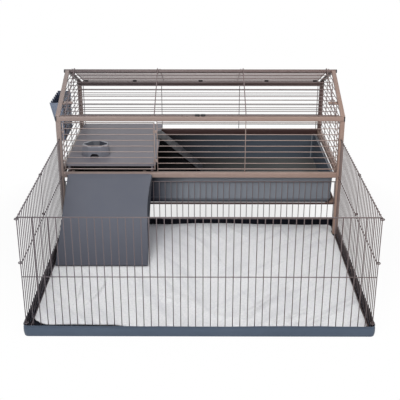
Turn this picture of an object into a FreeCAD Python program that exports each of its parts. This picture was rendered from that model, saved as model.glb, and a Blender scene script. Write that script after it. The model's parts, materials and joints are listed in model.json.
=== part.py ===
import FreeCAD
import Part
import Sketcher
import os
import re
from FreeCAD import Placement, Rotation, Vector

# A two-part small animal enclosure: a raised wire cage with a gable roof, and a wire run in front of it.
# Millimetres. X runs across, the run lies towards -Y, Z is up. The origin is on the floor, in the middle
# of the line where the cage's front posts meet the run.

SIZES = {
    # cage frame, square and round steel tube
    "cage_width": 1200,
    "cage_depth": 632,
    "post_size": 20,
    "tube_wall": 1.2,
    "eave_height": 537,
    "eave_size": 20,
    "rear_eave_size": 16,
    "ridge_height": 655,
    "ridge_diameter": 16,
    "ridge_over": 6,
    "rafter_width": 18,
    "rafter_depth": 12,
    "rafter_toe": 4,
    "sill_height": 290,
    "sill_tall": 22,
    "bottom_rail_height": 145,
    "bottom_rail_size": 8,
    "runner_leg": 12,
    "runner_flange": 40,
    "runner_wall": 3,
    "cap_flange": 5,
    "plug_length": 16,
    "plug_gap": 0.2,
    "foot_height": 4,
    # welded wire
    "wire_diameter": 3,
    "edge_wire_diameter": 4,
    "wire_pitch": 25,
    "seat_gap": 0.3,
    "upright_third": 190,
    "panel_margin": 8,
    # roof
    "loop_clearance": 0.4,
    "hatch_upright": 560,
    "rear_upright": 180,
    "first_roof_wire": 16,
    "bracket_reach": 40,
    "bracket_length": 20,
    "bracket_plate": 2.5,
    "bracket_tall": 11,
    "bracket_rise": 1.5,
    "bracket_up_share": 0.27,
    "screw_diameter": 7,
    "screw_head": 2.2,
    "clip_width": 19,
    "clip_spacing": 24,
    "clip_depth": 12,
    "clip_height": 8,
    "clip_floor": 1.2,
    "clip_clearance": 0.6,
    "rear_clip_inner": 320,
    "rear_clip_outer": 556,
    # front door
    "door_past_ramp": 20,
    "door_hinge_inset": 7,
    "door_margin": 7,
    "door_foot": 12,
    "door_gap": 10,
    "eye_wall": 2.2,
    "eye_height": 8,
    "eye_clearance": 0.4,
    "catch_wall": 2,
    "catch_height": 12,
    # run
    "pen_depth": 828,
    "pen_height": 442,
    "pen_mid_height": 224,
    "pen_side_mid_height": 272,
    "pen_back_low": 72,
    "pen_back_height": 249,
    "pen_joint": 5,
    "ring_wall": 1.6,
    "ring_height": 4,
    # soft floor and mat
    "canvas_front": 10,
    "canvas_rear": 92,
    "canvas_side": 1.5,
    "canvas_height": 42,
    "canvas_thickness": 1.5,
    "canvas_corner": 24,
    "mat_side": 2,
    "mat_front": 14,
    "mat_rear": 9,
    "mat_thickness": 4.5,
    "mat_corner": 60,
    # litter tray
    "tray_side": 1.5,
    "tray_front": 7,
    "tray_rear": 3,
    "tray_height": 118.5,
    "tray_wall": 2.5,
    "tray_draft": 4,
    "tray_rim": 10,
    "tray_rim_tall": 3,
    "tray_corner": 18,
    "tray_rib": 1.5,
    "tray_rib_height": 18,
    "tray_rib_tall": 5,
    # platform and its bearers
    "platform_width": 386,
    "platform_side": 4,
    "platform_end": 3,
    "platform_top": 322,
    "platform_tall": 10,
    "platform_wall": 3,
    "platform_corner": 14,
    "platform_edge": 2,
    "platform_foot": 8,
    "bearer_size": 12,
    "bearer_inset": 16,
    # food bowl
    "bowl_from_middle": 460,
    "bowl_from_front": 145,
    "bowl_width": 124,
    "bowl_depth": 104,
    "bowl_height": 47,
    "bowl_wall": 4,
    "bowl_corner": 32,
    "bowl_draft": 7,
    "bowl_floor": 20,
    "bowl_arch": 36,
    "bowl_arch_tall": 15,
    "bowl_arch_top_share": 0.5,
    # ramp inside the cage
    "inner_ramp_from_front": 355,
    "inner_ramp_width": 120,
    "inner_ramp_reach": 200,
    "inner_ramp_thick": 6,
    "inner_ramp_lip": 16,
    "inner_ramp_hook": 3,
    "tread_tall": 2,
    "tread_width": 5,
    # ramp from the cage down into the run
    "exit_ramp_left": 570,
    "exit_ramp_width": 360,
    "exit_ramp_reach": 312,
    "exit_ramp_thick": 14,
    "exit_ramp_cover": 2,
    "exit_ramp_bend_share": 0.36,
    "exit_ramp_bow_out": 9,
    "exit_ramp_bow_up": 10,
    "exit_ramp_under_share": 0.5,
    "ramp_rod_diameter": 6,
    "ramp_rod_front": 9,
    "ramp_ear": 14,
    "hook_width": 12,
    "hook_wall": 2,
    "hook_inset": 22,
    "hook_leg": 14,
    # hay rack
    "rack_from_front": 152,
    "rack_length": 210,
    "rack_top_depth": 58,
    "rack_foot_depth": 18,
    "rack_height": 172,
    "rack_wall": 2.5,
    "rack_over_wire": 9,
    "rack_below_rafter": 20,
    "rack_tooth": 11,
    "rack_tooth_share": 0.64,
    "rack_hook_width": 8,
    "rack_hook_inset": 40,
    "rack_hook_leg": 7,
    "rack_hook_wall": 2,
}
# Flat faces on a wire, and the way the flats turn to face along the axes.
WIRE_SIDES = 8
FLAT_TURN = 180 / WIRE_SIDES
# An edge counts as upright when this share of its length is height.
CLIMB_SHARE = 0.8

doc = FreeCAD.newDocument("SmallAnimalEnclosure")
sheet = doc.addObject("Spreadsheet::Sheet", "Sizes")
for row, (alias, size) in enumerate(SIZES.items(), start=1):
    sheet.set(f"A{row}", alias)
    sheet.set(f"B{row}", str(size))
    sheet.setAlias(f"B{row}", alias)
doc.recompute()

nodes = []


def sized(text):
    """The expression text with each size's name pointing at its cell."""
    def cell(word):
        return f"Sizes.{word[0]}" if word[0] in SIZES else word[0]

    return re.sub(r"[a-z]+(?:_[a-z]+)*", cell, text)


def number(text):
    """The present value of an expression on the sizes."""
    value = sheet.evalExpression(sized(text))
    return float(getattr(value, "Value", value))


def bind(item, **paths):
    """Tie properties to expressions; a double underscore in a name stands for a dot."""
    for path, text in paths.items():
        item.setExpression(path.replace("__", "."), sized(text))
    return item


def place(item, x="0", y="0", z="0", rotation=None):
    """Put an object at a bound position, turned by a fixed rotation."""
    item.Placement = Placement(Vector(), rotation or Rotation())
    return bind(item, Placement__Base__x=x, Placement__Base__y=y, Placement__Base__z=z)


def node(item, label):
    """Name a finished sub-part and put it on the list of files to write."""
    item.Label = label
    nodes.append(item)
    return item


# Building blocks: primitives, groups, and bodies drawn from sketches


def box(x, y, z):
    """A block between two bound limits along each axis."""
    item = doc.addObject("Part::Box", "Block")
    bind(item, Length=f"({x[1]}) - ({x[0]})", Width=f"({y[1]}) - ({y[0]})", Height=f"({z[1]}) - ({z[0]})")
    return place(item, x[0], y[0], z[0])


def across_corners(diameter):
    """How far an octagonal wire reaches across its corners."""
    return f"(({diameter}) / cos({FLAT_TURN}))"


def prism(diameter, length, x, y, z, rotation=Rotation()):
    """A straight wire: an octagonal bar with its flats across the stated diameter."""
    item = doc.addObject("Part::Prism", "Wire")
    item.Polygon = WIRE_SIDES
    bind(item, Circumradius=f"{across_corners(diameter)} / 2", Height=length)
    return place(item, x, y, z, rotation * Rotation(Vector(0, 0, 1), FLAT_TURN))


ALONG_X = Rotation(Vector(0, 1, 0), 90)
ALONG_Y = Rotation(Vector(1, 0, 0), -90)
ALONG_Z = Rotation()


def wire_x(diameter, x, y, z):
    return prism(diameter, f"({x[1]}) - ({x[0]})", x[0], y, z, ALONG_X)


def wire_y(diameter, x, y, z):
    return prism(diameter, f"({y[1]}) - ({y[0]})", x, y[0], z, ALONG_Y)


def wire_z(diameter, x, y, z):
    return prism(diameter, f"({z[1]}) - ({z[0]})", x, y, z[0], ALONG_Z)


def ring(bore, wall, height, x, y, z, rotation=Rotation()):
    """A short octagonal sleeve, bored to clear what it holds."""
    outer = prism(f"({bore}) + 2 * ({wall})", height, x, y, z, rotation)
    inner = prism(bore, height, x, y, z, rotation)
    return cut(outer, inner)


def cut(base, tool):
    item = doc.addObject("Part::Cut", "Cut")
    item.Base = base
    item.Tool = tool
    return item


def fuse(*items):
    item = doc.addObject("Part::MultiFuse", "Joined")
    item.Shapes = list(items)
    return item


def group(items):
    item = doc.addObject("Part::Compound", "Group")
    item.Links = list(items)
    return item


def new_body():
    return doc.addObject("PartDesign::Body", "Body")


def sketch(body, role, lift="0"):
    """An empty sketch on one of the body's own planes, raised along the plane's normal."""
    item = body.newObject("Sketcher::SketchObject", "Sketch")
    plane = [feature for feature in body.Origin.OriginFeatures if feature.Role == role][0]
    item.AttachmentSupport = (plane, [""])
    item.MapMode = "FlatFace"
    return bind(item, AttachmentOffset__Base__z=lift)


def outline(item, points):
    """A closed polygon whose corners are tied to the sizes."""
    first = item.GeometryCount
    spots = [Vector(number(x), number(y), 0) for x, y in points]
    count = len(points)
    for index, spot in enumerate(spots):
        item.addGeometry(Part.LineSegment(spot, spots[(index + 1) % count]))
    for index in range(count):
        item.addConstraint(Sketcher.Constraint("Coincident", first + index, 2, first + (index + 1) % count, 1))
    for index, corner in enumerate(points):
        for kind, text, spot in zip(("DistanceX", "DistanceY"), corner, spots[index]):
            number_of = item.addConstraint(Sketcher.Constraint(kind, -1, 1, first + index, 1, spot))
            item.setExpression(f"Constraints[{number_of}]", sized(text))
    return item


def rectangle(item, width, height, x="0", y="0"):
    """A rectangle about a centre."""
    left, right = f"({x}) - ({width}) / 2", f"({x}) + ({width}) / 2"
    low, high = f"({y}) - ({height}) / 2", f"({y}) + ({height}) / 2"
    return outline(item, [(left, low), (right, low), (right, high), (left, high)])


def eight_corners(item, width, depth, corner):
    """A rectangle about the origin with its corners cut off."""
    x, y = f"({width}) / 2", f"({depth}) / 2"
    near_x, near_y = f"({width}) / 2 - ({corner})", f"({depth}) / 2 - ({corner})"
    right = [(near_x, f"-({y})"), (x, f"-({near_y})"), (x, near_y), (near_x, y)]
    left = [(f"-({near_x})", y), (f"-({x})", near_y), (f"-({x})", f"-({near_y})"), (f"-({near_x})", f"-({y})")]
    return outline(item, right + left)


def feature(body, kind, profile, **settings):
    """Add a sketch-based feature; settings given as text are bound to the sizes."""
    item = body.newObject(f"PartDesign::{kind}", kind)
    item.Profile = profile
    for name, setting in settings.items():
        if isinstance(setting, str):
            bind(item, **{name: setting})
        else:
            setattr(item, name, setting)
    return item


def dress_edges(body, kind, size_name, size, chosen):
    """Round or bevel the edges of the body's latest shape that the test picks."""
    doc.recompute()
    base = body.Tip
    names = [f"Edge{i}" for i, edge in enumerate(base.Shape.Edges, start=1) if chosen(edge)]
    item = body.newObject(f"PartDesign::{kind}", kind)
    item.Base = (base, names)
    return bind(item, **{size_name: size})


def round_edges(body, radius, chosen):
    return dress_edges(body, "Fillet", "Radius", radius, chosen)


def bevel_edges(body, size, chosen):
    return dress_edges(body, "Chamfer", "Size", size, chosen)


def upright_edge(edge):
    """True for a straight edge that mostly climbs."""
    first, last = edge.Vertexes[0].Point, edge.Vertexes[-1].Point
    return abs(last.z - first.z) > CLIMB_SHARE * edge.Length


def bar(axis, length, width, height, x, y, z, wall=None):
    """A straight bar from a start point, solid or with a tube's wall, its section centred on its line."""
    body = new_body()
    role = {"X": "YZ_Plane", "Y": "XZ_Plane", "Z": "XY_Plane"}[axis]
    section = rectangle(sketch(body, role), width, height)
    if wall:
        rectangle(section, f"({width}) - 2 * ({wall})", f"({height}) - 2 * ({wall})")
    feature(body, "Pad", section, Length=length, Reversed=(axis == "Y"))
    return place(body, x, y, z)


# Lines and levels that several pieces share

POST_X = "((cage_width - post_size) / 2)"
INNER_X = "(cage_width / 2 - post_size)"
REAR_Y = "(cage_depth - post_size)"
RIDGE_Y = "((cage_depth - post_size) / 2)"
FACE_Y = "(post_size / 2)"
BAY_DEPTH = "(cage_depth - 2 * post_size)"
RAIL_LENGTH = "(cage_width - 2 * cap_flange)"
RIDGE_LENGTH = f"({RAIL_LENGTH} + 2 * ridge_over)"
POST_TOP = "(eave_height - eave_size)"
REAR_EAVE_TOP = "(eave_height - eave_size + rear_eave_size)"
SILL_MID = "(sill_height - sill_tall / 2)"
WALL_LOW = "(sill_height + seat_gap + edge_wire_diameter / 2)"
WALL_HIGH = f"({POST_TOP} - seat_gap - edge_wire_diameter / 2)"
CANVAS_TOP = "canvas_thickness"
MAT_TOP = "(canvas_thickness + mat_thickness)"
SIDES = {"left": "-1", "right": "1"}


def spread(span, pitch):
    """How many equal gaps of about one pitch fill a span."""
    return max(1, round(number(span) / number(pitch)))


# Posts, rails, rafters and ridge


def posts():
    for side, sign in SIDES.items():
        for end, y, floor in (("front", "0", CANVAS_TOP), ("rear", REAR_Y, "0")):
            foot = f"({floor} + foot_height)"
            length = f"{POST_TOP} - {foot}"
            tube = bar("Z", length, "post_size", "post_size", f"{sign} * {POST_X}", y, foot, "tube_wall")
            node(tube, f"{end}_{side}_post")


def post_feet():
    bore = "post_size - 2 * tube_wall - 2 * plug_gap"
    feet = []
    for sign in SIDES.values():
        for y, floor in (("0", CANVAS_TOP), (REAR_Y, "0")):
            x = f"{sign} * {POST_X}"
            top = f"{floor} + foot_height"
            sole = bar("Z", "foot_height", "post_size", "post_size", x, y, floor)
            plug = bar("Z", "plug_length", bore, bore, x, y, top)
            feet.append(fuse(sole, plug))
    node(group(feet), "post_feet")


def long_rails():
    start = f"-{RAIL_LENGTH} / 2"
    front_z = "eave_height - eave_size / 2"
    node(bar("X", RAIL_LENGTH, "eave_size", "eave_size", start, "0", front_z, "tube_wall"), "front_eave_rail")
    rear_z = f"{REAR_EAVE_TOP} - rear_eave_size / 2"
    rear = bar("X", RAIL_LENGTH, "rear_eave_size", "rear_eave_size", start, REAR_Y, rear_z, "tube_wall")
    node(rear, "rear_eave_rail")
    outer = doc.addObject("Part::Cylinder", "RidgeOuter")
    bind(outer, Radius="ridge_diameter / 2", Height=RIDGE_LENGTH)
    inner = doc.addObject("Part::Cylinder", "RidgeBore")
    bind(inner, Radius="ridge_diameter / 2 - tube_wall", Height=RIDGE_LENGTH)
    for item in (outer, inner):
        place(item, f"-{RIDGE_LENGTH} / 2", RIDGE_Y, "ridge_height", ALONG_X)
    node(cut(outer, inner), "ridge_tube")


def rail_end_caps():
    caps = []
    for sign in SIDES.values():
        end = f"{sign} * {RAIL_LENGTH} / 2"
        back = "0" if sign == "1" else "-cap_flange"
        plug = "-plug_length" if sign == "1" else "0"
        for y, z, size in (
            ("0", "eave_height - eave_size / 2", "eave_size"),
            (REAR_Y, f"{REAR_EAVE_TOP} - rear_eave_size / 2", "rear_eave_size"),
        ):
            bore = f"{size} - 2 * tube_wall - 2 * plug_gap"
            flange = bar("X", "cap_flange", size, size, f"{end} + {back}", y, z)
            caps.append(fuse(flange, bar("X", "plug_length", bore, bore, f"{end} + {plug}", y, z)))
        flange = doc.addObject("Part::Cylinder", "RidgeCap")
        bind(flange, Radius="ridge_diameter / 2", Height="cap_flange")
        stem = doc.addObject("Part::Cylinder", "RidgePlug")
        bind(stem, Radius="ridge_diameter / 2 - tube_wall - plug_gap", Height="plug_length")
        ridge_end = f"{sign} * {RIDGE_LENGTH} / 2"
        place(flange, f"{ridge_end} + {back}", RIDGE_Y, "ridge_height", ALONG_X)
        place(stem, f"{ridge_end} + {plug}", RIDGE_Y, "ridge_height", ALONG_X)
        caps.append(fuse(flange, stem))
    node(group(caps), "rail_end_caps")


def rafter(label, side_sign, end_sign, eave_y, eave_half, eave_top):
    """A sloped bar that stands flat on an eave rail and ends square beside the ridge tube."""
    body = new_body()
    out, back = f"{eave_y} + {end_sign} * {eave_half}", f"{eave_y} - {end_sign} * {eave_half}"
    ridge_face = f"{RIDGE_Y} + {end_sign} * (ridge_diameter / 2 + seat_gap)"
    profile = outline(sketch(body, "YZ_Plane"), [
        (back, eave_top),
        (out, eave_top),
        (out, f"{eave_top} + rafter_toe"),
        (ridge_face, "ridge_height + rafter_depth / 2"),
        (ridge_face, "ridge_height - rafter_depth / 2"),
    ])
    feature(body, "Pad", profile, Length="rafter_width")
    node(place(body, f"{side_sign} * {POST_X} - rafter_width / 2"), label)


def rafters():
    for side, sign in SIDES.items():
        rafter(f"front_{side}_rafter", sign, "-1", "0", "eave_size / 2", "eave_height")
        rafter(f"rear_{side}_rafter", sign, "1", REAR_Y, "rear_eave_size / 2", REAR_EAVE_TOP)


def sills():
    """The rails round the cage's floor line, with the push-fit plugs that join them to the posts."""
    length = f"2 * {INNER_X}"
    plugs = []
    bore, tall = "post_size - 2 * tube_wall - 2 * plug_gap", "sill_tall - 2 * tube_wall - 2 * plug_gap"
    for end, y in (("front", "0"), ("rear", REAR_Y)):
        rail = bar("X", length, "post_size", "sill_tall", f"-{INNER_X}", y, SILL_MID, "tube_wall")
        node(rail, f"{end}_sill")
        for x in (f"-{INNER_X}", f"{INNER_X} - plug_length"):
            plugs.append(bar("X", "plug_length", bore, tall, x, y, SILL_MID))
    for side, sign in SIDES.items():
        x = f"{sign} * {POST_X}"
        node(bar("Y", BAY_DEPTH, "post_size", "sill_tall", x, FACE_Y, SILL_MID, "tube_wall"), f"{side}_sill")
        for y in (FACE_Y, f"{FACE_Y} + {BAY_DEPTH} - plug_length"):
            plugs.append(bar("Y", "plug_length", bore, tall, x, y, SILL_MID))
    node(group(plugs), "sill_plugs")


def tray_carriers():
    """Cross rails at the tray's foot, and angle runners along the sides that the tray slides on."""
    length, size = f"2 * {INNER_X}", "bottom_rail_size"
    for end, y, top in (
        ("front", f"{FACE_Y} - {size} / 2", "bottom_rail_height + runner_wall"),
        ("rear", REAR_Y, "bottom_rail_height"),
    ):
        rail = bar("X", length, size, size, f"-{INNER_X}", y, f"{top} - {size} / 2", "tube_wall")
        node(rail, f"{end}_bottom_rail")
    for side, sign in SIDES.items():
        body = new_body()
        back = f"{sign} * ({INNER_X} + runner_wall)"
        leg = f"{sign} * {INNER_X}"
        flange = f"{sign} * ({INNER_X} + runner_wall - runner_flange)"
        section = outline(sketch(body, "XZ_Plane"), [
            (back, "bottom_rail_height"),
            (back, "bottom_rail_height + runner_leg"),
            (leg, "bottom_rail_height + runner_leg"),
            (leg, "bottom_rail_height + runner_wall"),
            (flange, "bottom_rail_height + runner_wall"),
            (flange, "bottom_rail_height"),
        ])
        feature(body, "Pad", section, Length=BAY_DEPTH, Reversed=True)
        node(place(body, y=FACE_Y), f"{side}_tray_runner")


# Welded wire walls of the cage


def level_wires(panel, span, low, high, y):
    """Level wires across a span, evenly spread between two heights, thicker at both edges."""
    gaps = spread(f"({high}) - ({low})", "wire_pitch")
    for step in range(gaps + 1):
        edge = step in (0, gaps)
        diameter = "edge_wire_diameter" if edge else "wire_diameter"
        z = f"({low}) + {step} * (({high}) - ({low})) / {gaps}"
        panel.append(wire_x(diameter, span, f"({y}) + {diameter} / 2", z))


def rear_wall_panel():
    panel = []
    span = (f"-{INNER_X} + seat_gap", f"{INNER_X} - seat_gap")
    level_wires(panel, span, WALL_LOW, WALL_HIGH, REAR_Y)
    for x in (f"-{INNER_X} + panel_margin", "-upright_third", "upright_third", f"{INNER_X} - panel_margin"):
        panel.append(wire_z("wire_diameter", x, f"{REAR_Y} - wire_diameter / 2", (WALL_LOW, WALL_HIGH)))
    node(group(panel), "rear_wall_panel")


# The door reaches past the ramp below it, and the fixed panel begins there.
DOOR_EDGE = "(exit_ramp_left - exit_ramp_width - door_past_ramp)"
FIXED_LEFT = f"(door_gap - {DOOR_EDGE})"


DOOR_PIVOT_X = f"(door_hinge_inset - {INNER_X})"
DOOR_PIVOT_Y = "(-edge_wire_diameter / 2)"
DOOR_LOW = "(sill_height + door_foot + edge_wire_diameter / 2)"
DOOR_HIGH = f"({POST_TOP} - door_margin - edge_wire_diameter / 2)"


def front_fixed_panel():
    """Its level wires run on in line with the door's, and its uprights stand on the sill."""
    panel = []
    level_wires(panel, (FIXED_LEFT, f"{INNER_X} - seat_gap"), DOOR_LOW, DOOR_HIGH, "0")
    rise = ("sill_height + seat_gap", f"{POST_TOP} - seat_gap")
    for x in (FIXED_LEFT, "upright_third", f"{INNER_X} - panel_margin"):
        panel.append(wire_z("wire_diameter", x, "-wire_diameter / 2", rise))
    node(group(panel), "front_fixed_panel")


DOOR_GAPS = spread(f"{DOOR_HIGH} - {DOOR_LOW}", "wire_pitch")
# The eyes and catches sit in the second gap from the bottom and from the top.
EYE_STEPS = (1, DOOR_GAPS - 2)


def door_level(step):
    """Height of a gap between two of the door's wires, where a hinge eye or a catch fits."""
    return f"{DOOR_LOW} + ({step} + 1 / 2) * ({DOOR_HIGH} - {DOOR_LOW}) / {DOOR_GAPS}"


def front_door():
    """The door's own left wire is its hinge pin."""
    panel = []
    level_wires(panel, (f"{DOOR_PIVOT_X} - edge_wire_diameter / 2", f"-{DOOR_EDGE}"), DOOR_LOW, DOOR_HIGH, "0")
    rise = (f"{DOOR_LOW} - edge_wire_diameter / 2", f"{DOOR_HIGH} + edge_wire_diameter / 2")
    for x in (DOOR_PIVOT_X, f"-{DOOR_EDGE} - edge_wire_diameter / 2"):
        panel.append(wire_z("edge_wire_diameter", x, DOOR_PIVOT_Y, rise))
    node(group(panel), "front_door")


def door_hinge_eyes():
    """Eyes on the left post that the door's pin turns in."""
    bore = f"{across_corners('edge_wire_diameter')} + 2 * eye_clearance"
    eyes = []
    for step in EYE_STEPS:
        z = f"{door_level(step)} - eye_height / 2"
        eye = ring(bore, "eye_wall", "eye_height", DOOR_PIVOT_X, DOOR_PIVOT_Y, z)
        reach = f"{DOOR_PIVOT_X} - ({bore}) / 2"
        y = (f"{DOOR_PIVOT_Y} - eye_wall / 2", f"{DOOR_PIVOT_Y} + eye_wall / 2")
        tab = box((f"-{INNER_X}", f"{reach} - eye_wall / 2"), y, (z, f"{z} + eye_height"))
        eyes.append(fuse(eye, tab))
    node(group(eyes), "door_hinge_eyes")


def door_catches():
    """Spring catches on the fixed panel's edge, open to the front, that hold the door's right wire."""
    catches = []
    centre = f"-{DOOR_EDGE} - edge_wire_diameter / 2"
    room = "(edge_wire_diameter / 2 + clip_clearance)"
    front, back = f"{DOOR_PIVOT_Y} - edge_wire_diameter / 2", f"{DOOR_PIVOT_Y} + {room}"
    for step in EYE_STEPS:
        z = (f"{door_level(step)} - catch_height / 2", f"{door_level(step)} + catch_height / 2")
        left, right = f"{centre} - {room} - catch_wall", f"{FIXED_LEFT} - wire_diameter / 2"
        block = box((left, right), (front, f"{back} + catch_wall"), z)
        groove = box((f"{centre} - {room}", f"{centre} + {room}"), (front, back), z)
        catches.append(cut(block, groove))
    node(group(catches), "door_catches")


# The rafters' undersides fall from beside the ridge to the inner edge of each eave rail.
RAFTER_HEAD = "(ridge_height - rafter_depth / 2)"
BESIDE_RIDGE = "(ridge_diameter / 2 + seat_gap)"
REAR_FOOT = f"({REAR_Y} - rear_eave_size / 2)"
FRONT_SLOPE = f"(({RAFTER_HEAD} - eave_height) / ({RIDGE_Y} - {BESIDE_RIDGE} - {FACE_Y}))"
REAR_SLOPE = f"(({RAFTER_HEAD} - {REAR_EAVE_TOP}) / ({REAR_FOOT} - {RIDGE_Y} - {BESIDE_RIDGE}))"


def under_front(y):
    return f"(eave_height + ({y} - {FACE_Y}) * {FRONT_SLOPE})"


def under_rear(y):
    return f"({REAR_EAVE_TOP} + ({REAR_FOOT} - ({y})) * {REAR_SLOPE})"


# Where the end walls' uprights stand, as shares of the depth between the posts.
END_UPRIGHT_SHARES = (0.02, 0.26, 0.5, 0.74, 0.98)


def end_panels():
    """House-shaped wire walls between the posts, up to the underside of the rafters."""
    near, far = f"({FACE_Y} + seat_gap)", f"({REAR_Y} - {FACE_Y} - seat_gap)"
    top = "(ridge_height - rafter_depth - ridge_diameter)"
    gaps = spread(f"{top} - {WALL_LOW}", "wire_pitch")
    for side, sign in SIDES.items():
        plane = f"{sign} * {POST_X}"
        inner, outer = f"{plane} - {sign} * wire_diameter / 2", f"{plane} + {sign} * wire_diameter / 2"
        panel = []
        for step in range(gaps + 1):
            z = f"({WALL_LOW} + {step} * wire_pitch)"
            over_front = f"({z} + wire_diameter - eave_height)"
            over_rear = f"({z} + wire_diameter - {REAR_EAVE_TOP})"
            front = f"max({near}; {FACE_Y} + {over_front} / {FRONT_SLOPE} + wire_diameter)"
            rear = f"min({far}; {REAR_FOOT} - {over_rear} / {REAR_SLOPE} - wire_diameter)"
            x = inner if step else f"{plane} - {sign} * edge_wire_diameter / 2"
            diameter = "wire_diameter" if step else "edge_wire_diameter"
            panel.append(wire_y(diameter, x, (front, rear), z))
        for share in END_UPRIGHT_SHARES:
            y = f"({near} + {share} * ({far} - {near}))"
            reach = f"min({top}; {under_front(y)}; {under_rear(y)}) - wire_diameter"
            panel.append(wire_z("wire_diameter", outer, y, (WALL_LOW, reach)))
        node(group(panel), f"{side}_end_panel")


# Roof


LOOP_BORE = "(ridge_diameter + 2 * loop_clearance)"
LOOP_LINE = f"({LOOP_BORE} / 2 + edge_wire_diameter / 2)"
HATCH_REST = f"({LOOP_LINE} - edge_wire_diameter)"
CLIP_RISE = f"(clip_floor + seat_gap + {across_corners('edge_wire_diameter')} / 2)"
HATCH_SEAT = f"(eave_height + {CLIP_RISE})"
REAR_LINE = "(ridge_diameter / 2 + seat_gap + wire_diameter / 2)"
REAR_REST = f"({REAR_LINE} - wire_diameter / 2 - edge_wire_diameter / 2)"
REAR_SEAT = f"({REAR_EAVE_TOP} + {CLIP_RISE})"


def roof_pitch(seat, rest):
    """Slope, in degrees, of a roof panel whose lowest wire lies on its eave rail."""
    fall = f"(ridge_height - {seat})"
    return f"(atan({fall} / {RIDGE_Y}) + asin({rest} / sqrt({fall} ^ 2 + {RIDGE_Y} ^ 2)))"


def roof_length(seat, rest):
    """Way down the slope from above the ridge to the panel's lowest wire."""
    return f"sqrt((ridge_height - {seat}) ^ 2 + {RIDGE_Y} ^ 2 - {rest} ^ 2)"


def on_ridge(item, angle):
    """Turn a panel drawn flat about the ridge, and set it there."""
    place(item, "0", RIDGE_Y, "ridge_height", Rotation(Vector(1, 0, 0), number(angle)))
    return bind(item, Placement__Rotation__Angle=angle)


def slope_wires(panel, half_width, length, rest, direction):
    """Level wires down a slope drawn flat: one at the top, one on the eave and an even spread between."""
    gaps = spread(f"{length} - first_roof_wire", "wire_pitch")
    for step in range(gaps + 1):
        edge = step == gaps
        diameter = "edge_wire_diameter" if edge else "wire_diameter"
        run = f"first_roof_wire + {step} * ({length} - first_roof_wire) / {gaps}"
        z = rest if edge else f"{rest} + (edge_wire_diameter - wire_diameter) / 2"
        panel.append(wire_x(diameter, (f"-({half_width})", half_width), f"{direction} * ({run})", z))


HATCH_PITCH = roof_pitch(HATCH_SEAT, HATCH_REST)
HATCH_LENGTH = roof_length(HATCH_SEAT, HATCH_REST)
REAR_PITCH = roof_pitch(REAR_SEAT, REAR_REST)
REAR_LENGTH = roof_length(REAR_SEAT, REAR_REST)


def roof_hatch():
    """The front slope of the roof; its uprights curl round the ridge tube as hinges."""
    panel = []
    slope_wires(panel, f"{INNER_X} - panel_margin", HATCH_LENGTH, HATCH_REST, "-1")
    for x in ("-hatch_upright", "-upright_third", "upright_third", "hatch_upright"):
        start = f"{x} - edge_wire_diameter / 2"
        loop = ring(LOOP_BORE, "edge_wire_diameter", "edge_wire_diameter", start, "0", "0", ALONG_X)
        end = f"-{HATCH_LENGTH} - edge_wire_diameter / 2"
        panel.append(fuse(loop, wire_y("edge_wire_diameter", x, (end, "0"), LOOP_LINE)))
    node(on_ridge(group(panel), HATCH_PITCH), "roof_hatch")


def rear_roof_panel():
    panel = []
    slope_wires(panel, f"{INNER_X} - panel_margin", REAR_LENGTH, REAR_REST, "1")
    edge = f"({INNER_X} - panel_margin - wire_diameter / 2)"
    for x in (f"-{edge}", "-rear_upright", "rear_upright", edge):
        panel.append(wire_y("wire_diameter", x, ("0", REAR_LENGTH), REAR_LINE))
    node(on_ridge(group(panel), f"-{REAR_PITCH}"), "rear_roof_panel")


def hatch_brackets():
    """Brackets screwed to the front rafters, with tongues under the hatch's side wires."""
    brackets, screws = [], []
    run = f"-{HATCH_LENGTH} * (1 - bracket_up_share)"
    y = (f"{run} - bracket_length / 2", f"{run} + bracket_length / 2")
    tongue_top = f"{HATCH_REST} - wire_diameter / 2 - seat_gap"
    wall = f"({POST_X} - rafter_width / 2)"
    for sign in SIDES.values():
        outer, face = f"{sign} * {wall}", f"{sign} * ({wall} - bracket_plate)"
        reach = f"{sign} * ({wall} - bracket_reach)"
        x = (face, outer) if sign == "1" else (outer, face)
        tongue_x = (reach, outer) if sign == "1" else (outer, reach)
        plate = box(x, y, ("bracket_rise", "bracket_rise + bracket_tall"))
        tongue = box(tongue_x, y, (f"{tongue_top} - bracket_plate", tongue_top))
        brackets.append(fuse(plate, tongue))
        start = f"{face} - {'screw_head' if sign == '1' else '0'}"
        level = "bracket_rise + bracket_tall - screw_diameter / 2"
        screws.append(wire_x("screw_diameter", (start, f"{start} + screw_head"), run, level))
    node(on_ridge(group(brackets), HATCH_PITCH), "hatch_brackets")
    node(on_ridge(group(screws), HATCH_PITCH), "bracket_screws")


def clip(middle, y, rail_top):
    """A saddle on an eave rail, open upwards, where a roof panel's lowest wire lies."""
    room = "(edge_wire_diameter / 2 + clip_clearance)"
    x = (f"{middle} - clip_width / 2", f"{middle} + clip_width / 2")
    top = f"{rail_top} + clip_height"
    block = box(x, (f"{y} - clip_depth / 2", f"{y} + clip_depth / 2"), (rail_top, top))
    groove = box(x, (f"{y} - {room}", f"{y} + {room}"), (f"{rail_top} + clip_floor", top))
    return cut(block, groove)


# Places of the rear clips along the rail.
REAR_CLIPS = ("-rear_clip_outer", "-rear_clip_inner", "0", "rear_clip_inner", "rear_clip_outer")


def roof_clips():
    """Two clips for the hatch in the middle of the front eave, and a row for the rear panel."""
    front = [clip(f"{sign} * clip_spacing / 2", "0", "eave_height") for sign in SIDES.values()]
    node(group(front), "eave_clips")
    rear = [clip(x, REAR_Y, REAR_EAVE_TOP) for x in REAR_CLIPS]
    node(group(rear), "rear_clips")


# Run of wire panels


PEN_X = POST_X
PEN_LOW = f"({CANVAS_TOP} + seat_gap + edge_wire_diameter / 2)"
PEN_TOP = "(pen_height - edge_wire_diameter / 2)"


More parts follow.
